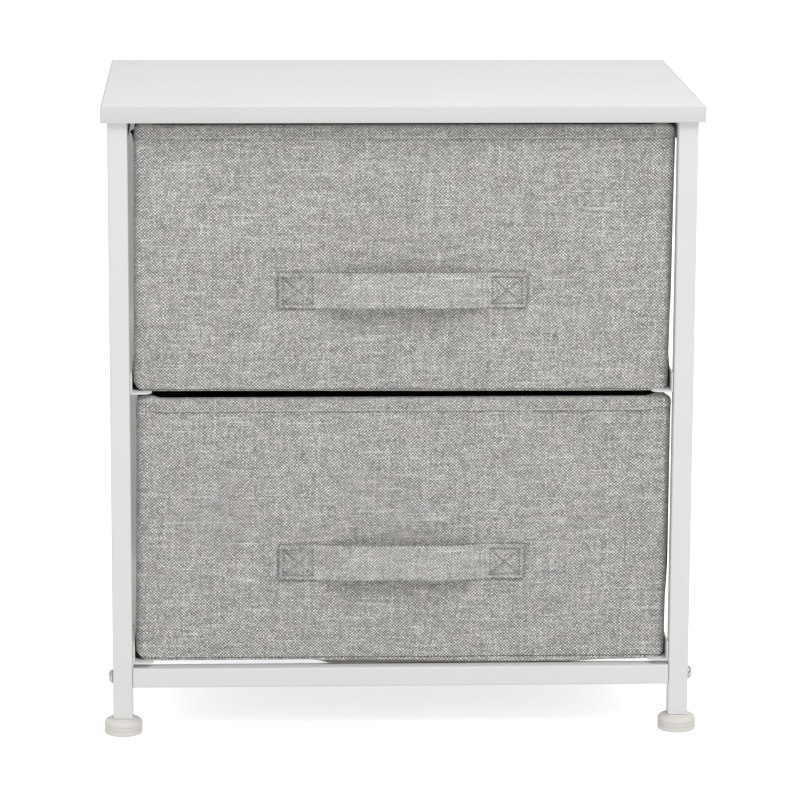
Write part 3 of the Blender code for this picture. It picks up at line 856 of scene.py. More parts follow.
def makeRibTree():
    sizes = ("Rib Depth", "Band Low", "Band High", "Rim Radius")
    tree, source = startTree("rimRibs", {"Rib Count": "Int", **dict.fromkeys(sizes, "Float")})
    x, y, z = split(tree, addNode(tree, "GeometryNodeInputPosition").outputs[0])
    angle = maths(tree, "ARCTAN2", y, x)
    wave = maths(tree, "COSINE", times(tree, angle, source["Rib Count"]))
    cut = times(tree, minus(tree, 1.0, wave), -0.5)
    above = maths(tree, "GREATER_THAN", z, source["Band Low"])
    below = maths(tree, "LESS_THAN", z, source["Band High"])
    radius = maths(tree, "SQRT", plus(tree, times(tree, x, x), times(tree, y, y)))
    onRim = maths(tree, "GREATER_THAN", radius, minus(tree, source["Rim Radius"], footSettings["ribReach"]))
    reach = times(tree, times(tree, cut, source["Rib Depth"]), times(tree, above, below, onRim))
    outward = combine(tree, maths(tree, "COSINE", angle), maths(tree, "SINE", angle))
    offset = scaled(tree, outward, reach)
    moved = addNode(tree, "GeometryNodeSetPosition", {"Geometry": source["Geometry"], "Offset": offset})
    return finishTree(tree, moved.outputs["Geometry"], source["Material"])


def footProfile(radius, height):
    values = footSettings
    edge = values["edge"]
    ease = values["ease"]
    collar = values["collarRadius"]
    shoulder = values["shoulder"]
    depth = values["grooveDepth"]
    bore = values["bore"]
    top = height - values["collarHeight"]
    mouth = values["mouth"]
    centre = values["centre"]
    shallow = radius - depth * values["grooveRound"]
    profile = [(centre, 0.0)] + arc(radius - edge, edge, edge, -90, 0)
    profile += [(radius, z) for z in spaced(*values["ribBand"], values["ringStep"])]
    for z in values["grooves"]:
        profile += [(radius, z - ease), (shallow, z - ease / 2), (radius - depth, z)]
        profile += [(shallow, z + ease / 2), (radius, z + ease)]
    profile += arc(radius - shoulder, top - shoulder, shoulder, 0, 90, 10)
    profile += [(collar + ease, top), (collar, top + ease)]
    profile += arc(collar - mouth, height - mouth, mouth, 0, 90, 4)
    floor = height - values["boreDepth"]
    profile += [(bore + ease, height), (bore, height - ease), (bore, floor)]
    return profile + [(centre, floor - values["boreCone"])]


def makeStud(name, low, high, centre, material):
    values = footSettings
    radius = (high.x - low.x) / 2
    tip = radius * values["threadTip"]
    start = low.z + values["threadStart"]
    steps = values["threadRings"]
    rise = values["threadPitch"] / steps
    count = int((high.z - low.z) / rise)
    profile = [(tip, low.z)]
    profile += [(radius, start + rise * i) for i in range(count - 1)]
    profile.append((tip, high.z))

    def thread(index, angle, reach):
        if index in (0, count):
            return reach
        turn = index / steps - angle / math.tau
        return reach - values["threadDepth"] * abs(turn - math.floor(turn) - 0.5) * 2

    stud = spinRings(name, profile, values["threadSteps"], material, thread, 80.0)
    stud.data.transform(Matrix.Translation((centre.x, centre.y, 0.0)))
    return stud


def makeFeet(finishes):
    tree = makeRibTree()
    values = footSettings
    for end, side in corners:
        corner = f"{end}_{side}"
        name = end + side.capitalize()
        low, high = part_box(corner + "_foot")
        centre = (low + high) / 2
        radius = (high.x - low.x) / 2
        profile = footProfile(radius, high.z)
        start = spinRings(name + "FootStart", profile, values["steps"], finishes["creamPlastic"])
        pad = growMesh(name + "FootPad", start, tree, {
            "Rib Count": values["ribs"],
            "Rib Depth": values["ribDepth"],
            "Band Low": values["ribBand"][0] + 0.0001,
            "Band High": values["ribBand"][1] - 0.0001,
            "Rim Radius": radius,
            "Material": finishes["creamPlastic"],
        })
        pad.data.transform(Matrix.Translation((centre.x, centre.y, 0.0)))
        settle(pad, corner + "_foot_body", "foot_plastic", corner + "_foot")

        low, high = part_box(corner + "_stud")
        stud = makeStud(name + "Stud", low, high, centre, finishes["plainSteel"])
        settle(stud, corner + "_stud_body", "screw_steel", corner + "_stud")
    print("feet made")


# Drawer: how its soft pieces lean and grow
drawerSettings = {
    "lean": 0.0022,
    "rightGrowth": {"lower": (0.0019, 0.0019), "upper": (0.0013, 0.0018)},
    "growthFrom": (0.150, 0.198),
    "topLift": {"lower": 0.0014, "upper": -0.0012},
}
handleBoxes = {level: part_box(level + "_drawer_handle") for level in ("lower", "upper")}
coverBoxes = {level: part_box(level + "_drawer_front_cover") for level in ("lower", "upper")}


# The drawers lean a little, and their right side is fuller than their left
def leanShift(level, x, z):
    low, high = coverBoxes[level]
    share = (z - low.z) / (high.z - low.z)
    atBottom, atTop = drawerSettings["rightGrowth"][level]
    growth = atBottom + (atTop - atBottom) * share
    return drawerSettings["lean"] * (share - 0.5) + growth * smoothStep(*drawerSettings["growthFrom"], x)


def leanPiece(piece, level):
    for vertex in piece.data.vertices:
        vertex.co.x += leanShift(level, vertex.co.x, vertex.co.z)


def leanLines(lines, level):
    for line in lines:
        for point in line:
            point.x += leanShift(level, point.x, point.z)


# Front cover: linen wrapped round the board, with a hem at the top and a seam and a lip at the bottom, and
# painted shade on its turned sides and on the lip's lower part
coverSettings = {
    "cloth": 0.0009,
    "round": {"side": 0.0058, "top": 0.0022, "bottom": 0.0010},
    "roundDepth": {"side": 0.0048, "top": 0.0048, "bottom": 0.0018},
    "roundSteps": 6,
    "wrapSteps": 3,
    "corner": {"topLeft": 0.0010, "topRight": 0.0030, "bottomLeft": 0.0010, "bottomRight": 0.0010},
    "cornerCut": {"left": (0.0056, 0.0046), "right": (0.0026, 0.0030)},
    "cutBlend": 1.4,
    # Painted shade on the sides where the cloth turns round the board, stronger on the right, and how fast it
    # grows into the round
    "paintedSideShade": {"left": 0.6, "right": 2.2},
    "paintedShadeSpread": 0.6,
    "hemDepth": 0.0100,
    "hemRise": 0.0011,
    "hemWander": 0.0004,
    "hemWanderScale": 22.0,
    "hemEdge": 0.0002,
    "hemStitch": 0.0010,
    "hemGroove": {"depth": 0.00040, "width": 0.0005},
    "hemFold": {"depth": 0.00060, "width": 0.0006},
    "seamHome": 0.0016,
    "seam": {"lower": (0.0010, 0.0009), "upper": (0.0005, -0.0004)},
    "seamDepth": 0.0008,
    "seamWidth": 0.0004,
    "seamReach": 0.0080,
    "lip": {"lower": (0.0020, 0.0049, 0.0032), "upper": (0.0012, 0.0014, 0.0014)},
    "lipTurns": ((-0.066, -0.052), (0.128, 0.160), (0.184, 0.196)),
    "lipEnd": 0.0012,
    # How far down the lip stays light, and how dark the painted shade on its lower part is
    "lipLight": (0.0017, 0.0036),
    "lipLightTurn": (-0.020, 0.090),
    "lipBlend": 0.0007,
    "lipPaintedShade": 3.4,
    "patchDent": 0.0007,
    "patchEdge": 0.0013,
    "patchMargin": 0.004,
    "pillow": 0.0005,
    "ripple": 0.00035,
    "rippleScale": (16.0, 11.0),
    "rippleSeed": {"lower": 4.0, "upper": 9.0},
    "pucker": 0.00010,
    "puckerScale": (70.0, 60.0),
    "stitchEnds": 0.006,
    "stitchStep": 0.004,
    "ear": {"lower": 0.0022, "upper": 0.0008},
    "earStart": 0.013,
    "earEnd": 0.005,
    "earHeight": 0.030,
    "nearHandle": 0.0022,
    "seamStep": 0.0001,
    "seamRows": [(0.0024, 0.0002), (0.0080, 0.0004)],
    "hemRows": {"from": 0.0130, "to": 0.0070, "step": 0.0004},
    "topStep": 0.0008,
    "endColumns": {"outer": (0.0012, 0.0003), "inner": (0.009, 0.0009)},
    "coarseRow": 0.0032,
    "coarseColumn": 0.0034,
    "middleStep": 0.0006,
}


def coverTop(level):
    return coverBoxes[level][1].z + drawerSettings["topLift"][level]


def seamHeight(level, x):
    left, right = coverSettings["seam"][level]
    halfWidth = coverBoxes[level][1].x
    return left + (right - left) * smoothStep(-halfWidth, halfWidth, x)


# How far the lip below the seam hangs down
def lipLength(level, x):
    lengths = [*coverSettings["lip"][level], coverSettings["lipEnd"]]
    length = lengths[0]
    for before, after, turn in zip(lengths, lengths[1:], coverSettings["lipTurns"]):
        length += (after - before) * smoothStep(*turn, x)
    return length


# How much painted shade darkens the lip at a depth below the seam: its lower part is painted dark as shade,
# more of it at the left
def lipShade(x, depth):
    atLeft, atRight = coverSettings["lipLight"]
    light = atLeft + (atRight - atLeft) * smoothStep(*coverSettings["lipLightTurn"], x)
    return coverSettings["lipPaintedShade"] * smoothStep(light, light + coverSettings["lipBlend"], depth)


# Lower edge of the cover: its corners are cut off, its seam runs straight and its lip hangs below
def shapeLower(level, x, z):
    values = coverSettings
    low, high = coverBoxes[level]
    cutX, cutZ = values["cornerCut"]["left" if x < 0.0 else "right"]
    near = (high.x - abs(x)) / cutX + (z - low.z) / cutZ
    if near < values["cutBlend"]:
        gain = (1.0 - near / values["cutBlend"]) / 2.0
        x -= math.copysign(gain * cutX, x)
        z += gain * cutZ
    up = z - low.z
    home = values["seamHome"]
    seam = seamHeight(level, x)
    if up >= home:
        return x, z + (seam - home) * smoothStep(values["seamReach"], home, up)
    share = min(1.0, (home - up) / (home - values["round"]["bottom"]))
    return x, z + seam - home - (lipLength(level, x) - home) * share


def hemWander(x):
    return coverSettings["hemWander"] * noise.noise(Vector((x * coverSettings["hemWanderScale"], 3.0, 1.0)))


def frontSwell(level, x, z):
    values = coverSettings
    low, high = coverBoxes[level]
    top = coverTop(level)
    up = z - low.z
    down = top - z
    across = 1.0 - (x / high.x) ** 2
    height = up * down / ((top - low.z) ** 2 / 4)
    swell = values["pillow"] * across * height
    scaleX, scaleZ = values["rippleScale"]
    swell += values["ripple"] * noise.noise(Vector((x * scaleX, z * scaleZ, values["rippleSeed"][level])))
    scaleX, scaleZ = values["puckerScale"]
    swell += values["pucker"] * noise.noise(Vector((x * scaleX, z * scaleZ, 2.0)))
    hem = values["hemDepth"] + hemWander(x)
    groove = values["hemGroove"]
    fold = values["hemFold"]
    swell += values["hemRise"] * smoothStep(-values["hemEdge"], values["hemEdge"], hem - down)
    swell -= groove["depth"] * hump(hem - values["hemStitch"], groove["width"], down)
    swell -= fold["depth"] * hump(hem + fold["width"], fold["width"], down)
    swell -= values["seamDepth"] * hump(values["seamHome"], values["seamWidth"], up)
    handleLow, handleHigh = handleBoxes[level]
    middle = (handleLow.z + handleHigh.z) / 2
    reachX = handleHigh.x - abs(x)
    reachZ = (handleHigh.z - handleLow.z) / 2 - abs(z - middle)
    if min(reachX, reachZ) > -values["patchMargin"] and reachX < handleSettings["patch"]:
        swell -= values["patchDent"] * hump(0.0, values["patchEdge"], min(reachX, reachZ))
    return swell


# A point of the cover's flat front moved into its rounded corner, and the way out of the edge there
def coverCorner(x, z, reachX, low, high):
    upper = z > (low + high) / 2
    name = ("top" if upper else "bottom") + ("Left" if x < 0.0 else "Right")
    radius = coverSettings["corner"][name]
    edgeZ = high - z if upper else z - low
    intoX = (abs(x) - (reachX - radius)) / radius
    intoZ = (radius - edgeZ) / radius
    signX = math.copysign(1.0, x)
    signZ = 1.0 if upper else -1.0
    if intoX <= 0.0 or intoZ <= 0.0:
        return x, z, (signX if intoX > 0.0 else 0.0, signZ if intoZ > 0.0 else 0.0)
    squeeze = max(intoX, intoZ) / math.hypot(intoX, intoZ)
    newX = signX * (reachX - radius + intoX * squeeze * radius)
    moved = (1.0 - intoZ * squeeze) * radius
    newZ = high - moved if upper else low + moved
    slope = Vector((signX * intoX, signZ * intoZ)).normalized()
    return newX, newZ, (slope.x, slope.y)


# Heights and places of the cover's rows and columns, closer where it is sewn or turned
def coverRows(level, low, high):
    values = coverSettings
    handleLow, handleHigh = handleBoxes[level]
    bottom = coverBoxes[level][0].z
    top = coverTop(level)
    hem = values["hemRows"]
    ends = [(bottom + values["seamHome"], values["seamStep"])]
    ends += [(bottom + up, step) for up, step in values["seamRows"]]
    for edge in (handleLow.z, handleHigh.z):
        ends.append((edge - values["nearHandle"], values["coarseRow"]))
        ends.append((edge + values["nearHandle"], values["middleStep"]))
    ends += [(top - hem["from"], values["coarseRow"]), (top - hem["to"], hem["step"])]
    return stretches(low, [*ends, (high, values["topStep"])])


def coverColumns(level, reachX):
    values = coverSettings
    handleX = handleBoxes[level][1].x
    outerAt, outerStep = values["endColumns"]["outer"]
    innerAt, innerStep = values["endColumns"]["inner"]
    outer = reachX - outerAt
    inner = reachX - innerAt
    ends = [(-outer, outerStep), (-inner, innerStep)]
    for edge in (-handleX, handleX):
        ends.append((edge - values["nearHandle"], values["coarseColumn"]))
        ends.append((edge + values["nearHandle"], values["middleStep"]))
    ends += [(inner, values["coarseColumn"]), (outer, innerStep), (reachX, outerStep)]
    return stretches(-reachX, ends)


# The cover's rim turned round the board's edge and back along its side, with painted shade on the sides,
# stronger on the right
def wrapRound(level, flats, rim, slopes):
    values = coverSettings
    depths = values["roundDepth"]
    back = coverBoxes[level][1].y
    rounds = values["roundSteps"]
    faces = []
    wraps = []
    shades = []
    previous = rim
    for step in range(1, rounds + values["wrapSteps"] + 1):
        ring = []
        for index in rim:
            slopeX, slopeZ = slopes[index]
            base = flats[index]
            end = "top" if slopeZ > 0.0 else "bottom"
            depth = depths["side"] * slopeX ** 2 + depths[end] * slopeZ ** 2
            if step <= rounds:
                angle = step / rounds * math.pi / 2
                out = math.sin(angle)
                y = base.y + depth * (1.0 - math.cos(angle))
                run = depth * angle
            else:
                out = 1.0
                share = (step - rounds) / values["wrapSteps"]
                y = (base.y + depth) * (1.0 - share) + back * share
                run = depth * math.pi / 2 + (y - base.y - depth)
            ring.append(len(flats))
            outX = slopeX * out * values["round"]["side"]
            outZ = slopeZ * out * values["round"][end]
            flats.append(Vector((base.x + outX, y, base.z + outZ)))
            wraps.append((index, slopeX * run, slopeZ * run))
            # Painted shade on the turned sides
            shade = values["paintedSideShade"]["left" if base.x < 0.0 else "right"]
            shades.append(shade * abs(slopeX) * smoothStep(0.0, values["paintedShadeSpread"], step / rounds))
        for k in range(len(ring)):
            after = (k + 1) % len(ring)
            faces.append((ring[k], ring[after], previous[after], previous[k]))
        previous = ring
    return faces, wraps, shades


def makeFrontCover(level, finishes):
    values = coverSettings
    low, high = coverBoxes[level]
    top = coverTop(level)
    reachX = high.x - values["round"]["side"]
    lowZ = low.z + values["round"]["bottom"]
    highZ = top - values["round"]["top"]
    columns = coverColumns(level, reachX)
    rows = coverRows(level, lowZ, highZ)
    flats = []
    slopes = []
    for x in columns:
        for z in rows:
            atX, atZ, slope = coverCorner(x, z, reachX, lowZ, highZ)
            outward = smoothStep(reachX - values["earStart"], reachX - values["earEnd"], abs(atX))
            ear = values["ear"][level] * outward * smoothStep(top - values["earHeight"], top, atZ)
            flats.append(Vector((atX, low.y - frontSwell(level, atX, atZ), atZ + ear)))
            slopes.append(slope)
    wide = len(columns)
    count = len(rows)
    rim = [i * count for i in range(wide)]
    rim += [(wide - 1) * count + j for j in range(1, count)]
    rim += [i * count + count - 1 for i in range(wide - 2, -1, -1)]
    rim += list(range(count - 2, 0, -1))
    wraps = [(index, 0.0, 0.0) for index in range(len(flats))]
    turned = [0.0] * len(flats)
    faces, rimWraps, rimShades = wrapRound(level, flats, rim, slopes)
    faces = gridFaces(wide, count) + faces
    wraps += rimWraps
    turned += rimShades
    points = []
    for index, place in enumerate(flats):
        x, z = shapeLower(level, place.x, place.z)
        points.append((x, place.y, z))
        # The lip's lower part takes painted shade in the 'turned' mark
        turned[index] = max(turned[index], lipShade(x, low.z + seamHeight(level, x) - z))
    uvs = [(points[index][0] + runX, points[index][2] + runZ) for index, runX, runZ in wraps]
    cover = makePiece(level + "FrontCover", points, faces, finishes["drawerLinen"], uvs, 60.0)
    # The 'turned' mark holds painted shade: on the turned sides and on the lip's lower part
    addMark(cover, "turned", turned)
    leanPiece(cover, level)
    thicken(cover, values["cloth"], -1.0)
    settle(cover, level + "_drawer", "drawer_linen", level + "_drawer_front_cover")


# Stiff board inside the cover, with its lower corners cut off to stay behind the cloth's
frontBoardSettings = {
    "margin": 0.0006,
    "marginZ": 0.0012,
    "cut": {"left": 0.0082, "right": 0.0052},
    "ease": 0.0012,
}


def makeFrontBoard(level, finishes):
    values = frontBoardSettings
    low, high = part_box(level + "_drawer_front_board")
    margin = Vector((values["margin"], 0.0, values["marginZ"]))
    bm = startSlab(low + margin + Vector((0.0, values["margin"], 0.0)), high - margin)
    middle = (low.z + high.z) / 2
    for side, sign in sideSigns.items():
        corner = [e for e in bm.edges if all(v.co.z < middle and v.co.x * sign > 0.0 for v in e.verts)]
        bevel(bm, corner, values["cut"][side], 1)
    bevel(bm, bm.edges[:], values["ease"], 2)
    board = finishSlab(level + "FrontBoard", bm, finishes["fibreboard"])
    leanPiece(board, level)
    settle(board, level + "_drawer", "stiffener_board", level + "_drawer_front_board")


# Black fabric: flat panels between two corners, each with a swell along its normal
wallSettings = {
    "step": 0.0045,
    "backStep": 0.0060,
    "bottomStep": 0.0050,
    "edgeRows": [(0.0016, 0.0004), (0.0120, 0.0015)],
    "wave": 0.0021,
    "sideWave": 0.00336,
    "lap": 0.0004,
    "threadInset": 0.0055,
    "threadLift": 0.0001,
    "threadStep": 0.004,
    "threadTop": 0.0015,
    "waveScale": (9.0, 7.0),
    "waveLevel": -0.35,
    "backScale": 8.0,
    "backLevel": 0.6,
    "looseAt": {"side": 0.05, "back": 0.06, "low": 0.05, "high": 0.03},
    "bulgeFrom": 0.075,
    "bulgeFull": 0.012,
    "runnerBulge": {"gain": 1.3, "height": 0.011, "width": 0.013, "start": 0.004},
    "topBulge": {("lower", 1): 0.95},
    "topBulgeAt": {"depth": 0.018, "width": 0.022},
    "sideBulge": {("lower", 1): 0.90, ("upper", 1): 0.40},
    "sideBulgeAt": {"start": 0.030, "full": 0.080, "end": 0.020},
    "runnerSheet": 0.0013,
    "runnerGap": 0.0004,
    "legGap": 0.0005,
}


# A panel, and a way to find its faces
def makePanel(level, name, corner, alongU, alongV, step, swell, thickness, finishes, node=None,
              flipped=False):
    lengthU = alongU.length
    lengthV = alongV.length
    normal = alongU.cross(alongV).normalized()
    if flipped:
        normal.negate()
    shareU = spaced(0.0, lengthU, step)
    shareV = stretches(0.0, wallSettings["edgeRows"] + [(lengthV, step)])

    def onPanel(u, v, offset):
        place = corner + alongU * (u / lengthU) + alongV * (v / lengthV)
        return place + normal * (swell(place) + offset)

    uvs = [(u, v) for u in shareU for v in shareV]
    points = [onPanel(u, v, 0.0) for u, v in uvs]
    faces = gridFaces(len(shareU), len(shareV), flipped)
    panel = makePiece(level + name, points, faces, finishes["blackNonwoven"], uvs)
    thicken(panel, thickness, 0.0)
    leanPiece(panel, level)
    settle(panel, level + "_drawer", "drawer_nonwoven", *([node] if node else []))
    return onPanel


# Rows of thread near the edges of a wall, on its outer face
def wallRows(onPanel, lengthU, lengthV, offset, startRow):
    inset = wallSettings["threadInset"]
    step = wallSettings["threadStep"]
    top = lengthV - tapeSettings["depth"] - wallSettings["threadTop"]
    rows = [[onPanel(u, inset, offset) for u in spaced(inset, lengthU - inset, step)]]
    for u in (lengthU - inset, inset)[: 2 if startRow else 1]:
        rows.append([onPanel(u, v, offset) for v in spaced(inset, top, step)])
    return rows


# How loose a wall is at a place, with its edges held by seams
def looseness(place, low, high, edge, run):
    loose = wallSettings["looseAt"]
    atBottom = smoothStep(low.z, low.z + loose["low"], place.z)
    atTop = smoothStep(high.z, high.z - loose["high"], place.z)
    return smoothStep(0.0, loose[run], edge) * atBottom * atTop


# A side wall bulges over its runner and toward the front leg, and waves elsewhere
def wallSwell(level, side, low, high):
    values = wallSettings
    runner = values["runnerBulge"]
    topAt = values["topBulgeAt"]
    sideAt = values["sideBulgeAt"]
    topBulge = values["topBulge"].get((level, side), 0.0)
    sideBulge = values["sideBulge"].get((level, side), 0.0)
    outer = max(abs(low.x), abs(high.x))
    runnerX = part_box(level + "_right_runner")[1].x - values["runnerSheet"]
    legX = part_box("front_right_leg")[0].x
    scaleY, scaleZ = values["waveScale"]

    def swell(place):
        lean = side * leanShift(level, side * outer, place.z)
        up = place.z - low.z
        down = high.z - place.z
        front = smoothStep(low.y + values["bulgeFrom"], low.y + values["bulgeFull"], place.y)
        room = runnerX - values["runnerGap"] - outer - lean
        bulge = room * min(1.0, runner["gain"] * hump(runner["height"], runner["width"], up))
        bulge *= smoothStep(0.0, runner["start"], up)
        room = max(0.0, legX - values["legGap"] - outer - lean)
        shape = sideBulge * smoothStep(sideAt["start"], sideAt["full"], up)
        shape *= smoothStep(0.0, sideAt["end"], down)
        shape = max(shape, topBulge * hump(topAt["depth"], topAt["width"], down))
        loose = looseness(place, low, high, min(place.y - low.y, high.y - place.y), "side")
        wave = noise.noise(Vector((place.y * scaleY, place.z * scaleZ, 5.0 + side * 2.0)))
        wave += values["waveLevel"]
        return (bulge + room * shape) * front + values["sideWave"] * wave * loose

    return swell


def makeWalls(level, finishes):
    values = wallSettings
    rows = []
    for name, side in sideSigns.items():
        node = f"{level}_drawer_{name}_wall"
        low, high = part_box(node)
        thickness = high.x - low.x
        corner = Vector(((low.x + high.x) / 2, low.y, low.z))
        along = Vector((0.0, high.y - low.y, 0.0))
        up = Vector((0.0, 0.0, high.z - low.z))
        onWall = makePanel(
            level, name.capitalize() + "Wall", corner, along, up, values["step"],
            wallSwell(level, side, low, high), thickness, finishes, node, side < 0,
        )
        rows += wallRows(onWall, along.length, up.length, thickness / 2 + values["threadLift"], False)

    low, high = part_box(level + "_drawer_back_wall")
    corner = Vector((low.x - values["lap"], (low.y + high.y) / 2, low.z))
    along = Vector((high.x - low.x + 2 * values["lap"], 0.0, 0.0))
    up = Vector((0.0, 0.0, high.z - low.z))

    def backSwell(place):
        loose = looseness(place, low, high, min(place.x - low.x, high.x - place.x), "back")
        wave = noise.noise(Vector((place.x * values["backScale"], place.z * values["backScale"], 7.0)))
        return values["wave"] * (wave + values["backLevel"]) * loose

    thickness = high.y - low.y
    onBack = makePanel(
        level, "BackWall", corner, along, up, values["backStep"], backSwell, thickness, finishes,
        level + "_drawer_back_wall",
    )
    return rows + wallRows(onBack, along.length, up.length, -thickness / 2 - values["threadLift"], True)


# The bottom sags away from its side and rear seams and from its left part, at its front edge too
bottomSettings = {
    "sag": {"lower": 0.0041, "upper": 0.0024},
    "sides": 0.03,
    "rear": 0.05,
    "front": (-0.0014, 0.0008),
    "left": (-0.090, -0.052),
    "right": (0.196, 0.160),
    "uneven": 0.06,
    "unevenScale": (18.0, 6.0),
}


def makeBottom(level, finishes):
    values = bottomSettings
    low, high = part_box(level + "_drawer_bottom")
    scaleX, scaleY = values["unevenScale"]

    def bottomSwell(place):
        sag = values["sag"][level] * smoothStep(0.0, values["sides"], min(place.x - low.x, high.x - place.x))
        sag *= smoothStep(0.0, values["rear"], high.y - place.y)
        sag *= smoothStep(*values["front"], place.y - low.y)
        sag *= smoothStep(*values["left"], place.x) * smoothStep(*values["right"], place.x)
        uneven = noise.noise(Vector((place.x * scaleX, place.y * scaleY, 3.0))) - 1.0
        return -sag * (1.0 + values["uneven"] * uneven)

    corner = Vector((low.x, low.y, (low.z + high.z) / 2))
    across = Vector((high.x - low.x, 0.0, 0.0))
    deep = Vector((0.0, high.y - low.y, 0.0))
    makePanel(
        level, "Bottom", corner, across, deep, wallSettings["bottomStep"], bottomSwell, high.z - low.z,
        finishes, level + "_drawer_bottom",
    )


# Thin black lining behind the front board
liningSettings = {
    "thickness": 0.0006,
    "gap": 0.0004,
    "below": 0.0020,
    "above": 0.0010,
    "wave": 0.00012,
    "waveScale": (20.0, 14.0),
}


def makeLining(level, finishes):
    values = liningSettings
    low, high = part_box(level + "_drawer_front_board")
    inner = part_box(level + "_drawer_left_wall")[1].x
    thickness = values["thickness"]
    bottom = low.z + values["below"]
    corner = Vector((inner + thickness, high.y + values["gap"], bottom))
    along = Vector((-2 * (inner + thickness), 0.0, 0.0))
    up = Vector((0.0, 0.0, high.z - values["above"] - bottom))
    scaleX, scaleZ = values["waveScale"]

    def liningSwell(place):
        return values["wave"] * noise.noise(Vector((place.x * scaleX, place.z * scaleZ, 6.0)))

    makePanel(
        level, "FrontLining", corner, along, up, wallSettings["backStep"], liningSwell, thickness, finishes,
        flipped=True,
    )


# Binding tape folded over the top edge of the three black walls
tapeSettings = {
    "depth": 0.0090,
    "thickness": 0.00035,
    "gap": 0.00025,
    "turn": 0.004,
    "turnSteps": 6,
    "shoulder": 0.0002,
    "crown": 0.0009,
    "stitchRise": 0.0018,
    "frontInset": 0.0006,
    "frontRun": 0.012,
    "frontStep": 0.002,
    "sideStep": 0.008,
    "backStep": 0.010,
    "sectionStep": 0.0009,
    "innerCrown": ((-0.6, 0.0002), (0.0, 0.0003), (0.6, 0.0002)),
    "wave": 0.0002,
    "waveScale": 40.0,
    "flare": {"lower": 0.0, "upper": 0.0026},
    "flareRun": (0.008, 0.001),
    "flareAt": {"depth": 0.0010, "width": 0.0017},
}


def tapeCorner(centreX, centreY, start):
    turn = tapeSettings["turn"]
    steps = tapeSettings["turnSteps"]
    angles = [start - step / steps * math.pi / 2 for step in range(1, steps + 1)]
    return [Vector((centreX + turn * math.cos(a), centreY + turn * math.sin(a), 0.0)) for a in angles]


def tapePath(level):
    values = tapeSettings
    turn = values["turn"]
    boxes = {name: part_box(f"{level}_drawer_{name}_wall") for name in ("left", "right", "back")}
    leftX, rightX = [(boxes[name][0].x + boxes[name][1].x) / 2 for name in sideSigns]
    backY = (boxes["back"][0].y + boxes["back"][1].y) / 2
    frontY = boxes["left"][0].y + values["frontInset"]
    fineEnd = frontY + values["frontRun"]
    sideStep = values["sideStep"]
    leftRun = stretches(frontY, [(fineEnd, values["frontStep"]), (backY - turn, sideStep)])
    path = [Vector((leftX, y, 0.0)) for y in leftRun]
    path += tapeCorner(leftX + turn, backY - turn, math.pi)
    path += [Vector((x, backY, 0.0)) for x in spaced(leftX + turn, rightX - turn, values["backStep"])[1:]]
    path += tapeCorner(rightX - turn, backY - turn, math.pi / 2)
    return path + [Vector((rightX, y, 0.0)) for y in spaced(backY - turn, frontY, sideStep)[1:]]


def sideways(path, index):
    before = path[max(index - 1, 0)]
    after = path[min(index + 1, len(path) - 1)]
    run = (after - before).normalized()
    return Vector((-run.y, run.x, 0.0))


def makeBinding(level, finishes):
    values = tapeSettings
    wallLow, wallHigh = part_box(level + "_drawer_left_wall")
    inner = (wallHigh.x - wallLow.x) / 2 + values["gap"]
    outer = inner + values["thickness"]
    low = wallHigh.z - values["depth"]
    crown = wallHigh.z + values["gap"]
    shoulder = crown - values["shoulder"]
    section = [(outer, height) for height in spaced(low, shoulder, values["sectionStep"])]
    angles = [math.pi * k / 8 for k in range(1, 8)]
    section += [(outer * math.cos(a), shoulder + values["crown"] * math.sin(a)) for a in angles]
    section += [(-outer, shoulder), (-outer, low), (-inner, low), (-inner, shoulder)]
    section += [(inner * share, crown + up) for share, up in values["innerCrown"]]
    section += [(inner, shoulder), (inner, low)]
    path = tapePath(level)
    frontY = path[0].y

    flareAt = values["flareAt"]

    def flare(place, height):
        near = smoothStep(*values["flareRun"], place.y - frontY) if place.x < 0.0 else 0.0
        return values["flare"][level] * near * hump(flareAt["depth"], flareAt["width"], crown - height)

    points = []
    uvs = []
    run = 0.0
    for index, place in enumerate(path):
        if index:
            run += (place - path[index - 1]).length
        out = sideways(path, index)
        wave = values["wave"] * noise.noise(Vector((run * values["waveScale"], 2.0, 0.0)))
        for (reach, height), girth in zip(section, girths(section)):
            point = place + out * (reach + flare(place, height))
            points.append(Vector((point.x, point.y, height + wave)))
            uvs.append((run, girth))
    faces = tubeFaces(len(path), len(section), True)
    tape = makePiece(level + "BindingTape", points, faces, finishes["bindingTape"], uvs, 60.0)
    leanPiece(tape, level)
    settle(tape, level + "_drawer", "drawer_nonwoven")

    rows = []
    for reach in (outer, -outer):
        line = [place + sideways(path, index) * reach for index, place in enumerate(path)]
        rows.append([Vector((point.x, point.y, low + values["stitchRise"])) for point in line])
    return rows


